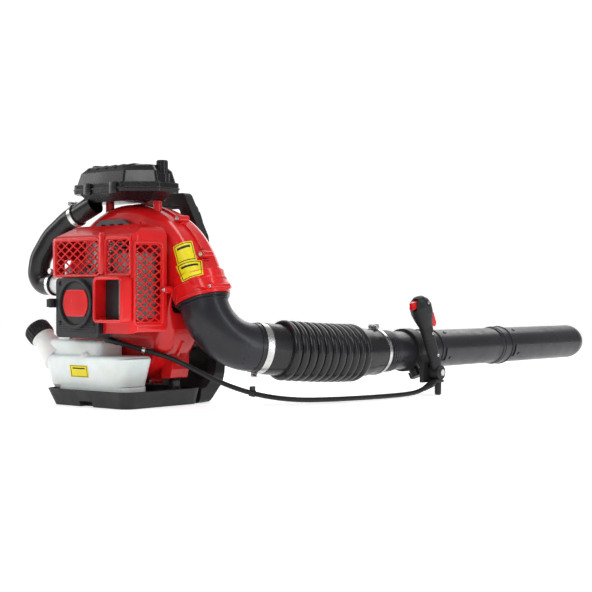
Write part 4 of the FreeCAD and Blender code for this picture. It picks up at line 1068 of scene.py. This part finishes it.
def make_case_details():
    beads = [bead_ring(COLLAR_RIM - COLLAR_DIR * 31 * MM, COLLAR_DIR, 54.4 * MM, 1.8 * MM, RED),
             bead_ring(COLLAR_RIM - COLLAR_DIR * 5.5 * MM, COLLAR_DIR, 55.4 * MM, 1.2 * MM, RED)]
    for turned_by, radius in FAN_SCREWS:
        angle = math.radians(-20 - turned_by)
        out = Vector((math.cos(angle), 0, math.sin(angle)))
        along = Vector((-math.sin(angle), 0, math.cos(angle)))
        base = CRANK + out * (radius - 4) * MM
        for offset in (-9, 9):
            corners = [base + along * (offset * MM) + Y_AXIS * (y * MM) + out * (r * MM)
                       for y, r in ((-12, 0), (12, 0), (7, 8), (-7, 8))]
            beads.append(frame_bead("web", corners, 3 * MM, 1.7 * MM, RED, along, flatten=1.0))
    give(join_pieces("case_beads", beads), "root", "red_plastic")
    screw_head("collar_screw", COLLAR_RIM - COLLAR_DIR * 12 * MM + at(48, -26.4, 16), -Y_AXIS, 4 * MM, "root")


def sticker(name, corners, outward, node, material, lift=0.3 * MM, columns=14, rows=14):
    """A thin patch between four corners, dropped onto a CAD node from outside."""
    tree = surface_tree(node)
    outward = Vector(outward).normalized()
    a, b, c, d = corners
    layers = []
    for height in (lift * 0.2, lift):
        layer = []
        for i in range(rows + 1):
            for j in range(columns + 1):
                u, v = j / columns, i / rows
                point = (a * (1 - u) + b * u) * (1 - v) + (d * (1 - u) + c * u) * v
                hit, normal, _, _ = tree.ray_cast(point + outward * 0.06, -outward)
                layer.append((hit if hit else point) + (normal if hit else outward) * height)
        layers.append(layer)
    across, count = columns + 1, (columns + 1) * (rows + 1)
    faces = []
    for i in range(rows):
        for j in range(columns):
            p = i * across + j
            faces.append((p, p + across, p + across + 1, p + 1))
            faces.append((count + p, count + p + 1, count + p + across + 1, count + p + across))
    edge = list(range(across)) + [i * across + columns for i in range(1, rows + 1)]
    edge += [rows * across + j for j in range(columns - 1, -1, -1)]
    edge += [i * across for i in range(rows - 1, 0, -1)]
    for p, q in zip(edge, edge[1:] + edge[:1]):
        faces.append((p, q, count + q, count + p))
    piece = make_object(name, layers[0] + layers[1], faces, material)
    mark_sharp(piece, 60)
    return piece


def inner_corners(corners, low_u, high_u, low_v, high_v):
    a, b, c, d = corners

    def spot(u, v):
        return (a * (1 - u) + b * u) * (1 - v) + (d * (1 - u) + c * u) * v

    return [spot(low_u, low_v), spot(high_u, low_v), spot(high_u, high_v), spot(low_u, high_v)]


STICKERS = [   # name, corners, way out, CAD node, slot; all blank but for a plain border and bars
    ("case_sticker_upper", [at(155, -50, 313), at(171, -14, 326), at(194, -24, 287), at(168, -50, 277)],
     (0.62, -0.72, 0.3), "fan_case_rear", "red_plastic"),
    ("case_sticker_lower", [at(163, -50, 275), at(193, -9, 286), at(214, -26, 258), at(181, -50, 243)],
     (0.62, -0.72, 0.3), "fan_case_rear", "red_plastic"),
    ("tank_sticker", [at(-50, -140, 81), at(4, -140, 81), at(4, -140, 57), at(-50, -140, 57)], (0, -1, 0),
     "fuel_tank", "tank_plastic"),
]


def make_stickers():
    for name, corners, outward, node, slot in STICKERS:
        give(sticker(name, corners, outward, node, YELLOW), "root", slot)
        bars = []
        for low_u, high_u, low_v, high_v in ((0.05, 0.95, 0.05, 0.09), (0.05, 0.95, 0.91, 0.95),
                                             (0.05, 0.08, 0.09, 0.91), (0.92, 0.95, 0.09, 0.91),
                                             (0.16, 0.84, 0.2, 0.32)):
            bar = inner_corners(corners, low_u, high_u, low_v, high_v)
            bars.append(sticker("bar", bar, outward, node, INK, lift=0.42 * MM, columns=12, rows=12))
        give(join_pieces(name + "_print", bars), "root", slot)


# Tank: filler cap ribs and its plain patterned top

def make_cap_details():
    direction, side, other = axes_across((-0.74, -0.06, 0.67))
    start = at(-118, -108, 92) + direction * 62 * MM
    pieces = []
    for n in range(24):
        turn = 2 * math.pi * n / 24
        out = side * math.cos(turn) + other * math.sin(turn)
        profile = ((1, 25.2), (3, 26.2), (22, 26.2), (25, 25))
        line = [start + direction * (s * MM) + out * (r * MM) for s, r in profile]
        pieces.append(sweep("rib", line, 1.5 * MM, BLACK, sides=10))
    top = start + direction * 27 * MM
    pieces.append(bead_ring(top, direction, 23 * MM, 1.6 * MM, BLACK, 0.6))
    pieces.append(bead_ring(top, direction, 12 * MM, 1.0 * MM, BLACK, 0.6))
    for n in range(6):
        turn = 2 * math.pi * n / 6
        out = side * math.cos(turn) + other * math.sin(turn)
        pieces.append(sweep("spoke", [top + out * 13 * MM, top + out * 21.5 * MM], 1.1 * MM, BLACK, sides=8))
    give(join_pieces("fuel_cap_grip", pieces), "cap", "black_plastic")
    neck = bead_ring(start - direction * 3 * MM, direction, 23 * MM, 2 * MM, TANK)
    give(neck, "root", "tank_plastic", "filler_neck_ring")


# Air cleaner: rim bead, ribs over the dome, clips

CLEANER_PLAN = [(-108, -66), (-80, -101), (66, -101), (120, -54), (120, 2), (92, 27), (-86, 27), (-108, 4)]


def cleaner_outline(inset, z):
    """The air cleaner's plan drawn in by inset about its centre, at height z, in millimetres."""
    return [at(4 + (x - 4) * (114 - inset) / 114, -37 + (y + 37) * (64 - inset) / 64, z)
            for x, y in CLEANER_PLAN]


def make_cleaner_details():
    rims = ((0.4, 432, 2.4, 0.8), (1.5, 441.5, 1.5, 1.0), (23, 476, 1.8, 1.0))
    pieces = [frame_bead("bead", cleaner_outline(inset, z), 10 * MM, radius * MM, BLACK, Z_AXIS, flatten)
              for inset, z, radius, flatten in rims]
    tree = surface_tree("air_cleaner_cover")
    for x in (-56, -30, -4, 22, 48):
        line = []
        for n in range(25):
            y = -82 + 88 * n / 24
            hit = tree.ray_cast(at(x, y, 600), -Z_AXIS)[0]
            line.append(hit + Z_AXIS * 0.2 * MM)
        pieces.append(sweep("rib", line, 2.2 * MM, BLACK, sides=10, flatten=0.8))
    for x in (-46, 30):
        low = at(x, -105.5, 420)
        pieces.append(rounded_box("clip", low, low + at(20, 6, 24), BLACK, 2 * MM))
    give(join_pieces("cleaner_ribs", pieces), "root", "black_plastic")


# Pipes: socket beads and mould parting lines; elbow bead

SEAM_START, SEAM_END = 0.475, 1.262     # the parting lines stop short of the sleeve and of the rounded mouth


def make_pipe_details():
    centre = Vector((PIPE.x, 0, PIPE.z))
    for name, body, mouth in (("swivel_pipe_bead", "pipe", SOCKET_MOUTHS[0]),
                              ("mid_pipe_bead", "mid_pipe", SOCKET_MOUTHS[1])):
        beads = [bead_ring(centre + Y_AXIS * (mouth - 2 * MM), Y_AXIS, 44.9 * MM, 1.5 * MM, TUBE),
                 bead_ring(centre + Y_AXIS * (mouth - 33 * MM), Y_AXIS, 44.6 * MM, 1.0 * MM, TUBE)]
        give(join_pieces(name, beads), body, "tube_plastic")
    first_mouth, second_mouth = SOCKET_MOUTHS
    for name, body, low, high in (("swivel_pipe_seam", "pipe", SEAM_START, first_mouth - 0.045),
                                  ("mid_pipe_seam", "mid_pipe", first_mouth + 0.05, second_mouth - 0.045),
                                  ("nozzle_seam", "nozzle", second_mouth + 0.05, SEAM_END)):
        seams = []
        for side in (-1, 1):
            x = PIPE.x + side * 42.2 * MM
            line = [Vector((x, low, PIPE.z)), Vector((x, high, PIPE.z))]
            seams.append(sweep("seam", line, 0.5 * MM, TUBE, sides=8))
        give(join_pieces(name, seams), body, "tube_plastic")
    bead = bead_ring(COLLAR_RIM + COLLAR_DIR * 9 * MM, COLLAR_DIR, 48.2 * MM, 1.4 * MM, TUBE)
    give(bead, "elbow", "tube_plastic", "elbow_bead")


# Handle: screws, grip ribs below the trigger, switch ridges

def make_handle_details():
    low, high = at(359.7, 557, 66), at(352, 503, 206)
    heading = (high - low).normalized()
    for n, (share, radius) in enumerate(((0.16, 12.6), (0.5, 14.2), (0.98, 24.0)), start=1):
        place = low + (high - low) * share + X_AXIS * (radius - 0.6) * MM
        screw_head(f"handle_screw_{n}", place, X_AXIS, 3.2 * MM, "handle")
    ribs = []
    for n in range(6):
        place = low + heading * (26 + 7 * n) * MM
        ribs.append(bead_ring(place, heading, (12.5 + 0.16 * n) * MM, 0.9 * MM, BLACK_GRAINED, 1.0, sides=48))
    give(join_pieces("handle_ribs", ribs), "handle", "tube_plastic")
    switch_low, switch_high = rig.box("stop_switch")
    ridges = []
    for n in range(4):
        y = switch_low.y + 2 * MM + n * 1.2 * MM
        z = switch_high.z - (9 - 2.6 * n) * MM
        line = [Vector((switch_low.x + 1 * MM, y, z)), Vector((switch_high.x - 1 * MM, y, z))]
        ridges.append(sweep("ridge", line, 0.7 * MM, RED, sides=8))
    give(join_pieces("switch_ridges", ridges), "switch", "red_plastic")


# Tray: feet and rim

def make_tray_details():
    feet = []
    foot = [(0, 9 * MM), (2.2 * MM, 10 * MM), (3 * MM, 10 * MM)]
    for x, y in ((-86, -122), (100, -122), (-86, 40), (100, 40)):
        feet.append(turned("foot", foot, at(x, y, 0.2), Z_AXIS, RUBBER, sides=40))
    give(join_pieces("tray_feet", feet), "root", "rubber")
    tray_low, tray_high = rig.box("base_tray")
    left, near = tray_low.x + 1 * MM, tray_low.y + 1 * MM
    right, far, z = tray_high.x - 1 * MM, tray_high.y - 1 * MM, tray_high.z - 0.8 * MM
    corners = [Vector((x, y, z)) for x, y in ((left, near), (right, near), (right, far), (left, far))]
    rim = frame_bead("tray_rim", corners, 34 * MM, 1.5 * MM, BLACK_GRAINED, Z_AXIS, 1.0)
    give(rim, "root", "black_plastic")


make_cover_details()
make_exhaust_louvres_and_shade_plate()
make_starter_details()
make_case_details()
make_stickers()
make_cap_details()
make_cleaner_details()
make_pipe_details()
make_handle_details()
make_tray_details()


# Camera, light and floor

CAMERA_PLACE = (1.9624, -1.8322, 0.218)
CAMERA_TURN = math.radians(40)      # to the left of straight along +Y, level with the floor
WALL_BRIGHTNESS, ROOM_BRIGHTNESS = 1.1, 0.3
FLOOR_GLOW = 0.6
FLOOR_REACH = 12


def make_camera():
    data = bpy.data.cameras.new("camera")
    data.sensor_width = 36
    data.lens = 79.05
    camera = bpy.data.objects.new("camera", data)
    camera.location = CAMERA_PLACE
    camera.rotation_euler = (math.radians(90), 0, CAMERA_TURN)
    bpy.context.scene.collection.objects.link(camera)
    bpy.context.scene.camera = camera


def make_light(name, place, target, size, power, colour=(1, 1, 1)):
    data = bpy.data.lights.new(name, "AREA")
    data.shape = "RECTANGLE"
    data.size, data.size_y = size
    data.energy = power
    data.color = colour
    light = bpy.data.objects.new(name, data)
    light.location = place
    light.rotation_euler = (Vector(target) - Vector(place)).to_track_quat("-Z", "Y").to_euler()
    bpy.context.scene.collection.objects.link(light)


def bright_backdrop(world):
    """A pale room with one white wall, behind the object as the camera sees it."""
    tree = world.node_tree
    place = add(tree, "ShaderNodeTexCoord")
    facing = add(tree, "ShaderNodeVectorMath", operation="DOT_PRODUCT")
    tree.links.new(place.outputs["Generated"], facing.inputs[0])
    facing.inputs[1].default_value = (-math.sin(CAMERA_TURN), math.cos(CAMERA_TURN), 0)
    strength = remap(tree, facing.outputs["Value"], 0.55, 0.9, ROOM_BRIGHTNESS, WALL_BRIGHTNESS)
    tree.links.new(strength, tree.nodes["Background"].inputs["Strength"])


def make_studio():
    centre = (0.1, 0.15, 0.2)
    make_light("key", (0.9, -1.7, 1.5), centre, (0.9, 0.9), 12)
    make_light("side", (2.3, 0.5, 0.7), (0.3, 0.5, 0.1), (0.35, 2.2), 10, (0.94, 0.96, 1.0))
    make_light("left", (-1.6, -0.9, 0.9), centre, (0.5, 1.5), 9)
    make_light("top", (0.3, 0.5, 2.1), centre, (2.4, 0.5), 15)
    make_light("back", (-0.4, 2.4, 1.4), centre, (1.8, 0.8), 8)
    world = bpy.data.worlds.new("studio")
    world.use_nodes = True
    world.node_tree.nodes["Background"].inputs["Color"].default_value = (1.0, 1.0, 1.0, 1)
    bright_backdrop(world)
    bpy.context.scene.world = world
    bpy.context.scene.view_settings.view_transform = "Standard"
    corners = [(x * FLOOR_REACH, y * FLOOR_REACH, -0.5 * MM) for x, y in ((-1, -1), (1, -1), (1, 1), (-1, 1))]
    paint = moulded("floor_paint", (0.95, 0.95, 0.95), 0.6, wear=0.0, grain_depth=0.01)
    shader = next(node for node in paint.node_tree.nodes if node.type == "BSDF_PRINCIPLED")
    shader.inputs["Emission Color"].default_value = (1.0, 1.0, 1.0, 1)
    shader.inputs["Emission Strength"].default_value = FLOOR_GLOW
    floor = make_object("floor", corners, [(0, 1, 2, 3)], paint)
    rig.stage(floor)


make_camera()
make_studio()

visual_low, visual_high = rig.bounds()
with open("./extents.json", "w") as size_file:
    json.dump({"cad": [list(cad_low), list(cad_high)],
               "visual": [list(visual_low), list(visual_high)]}, size_file)
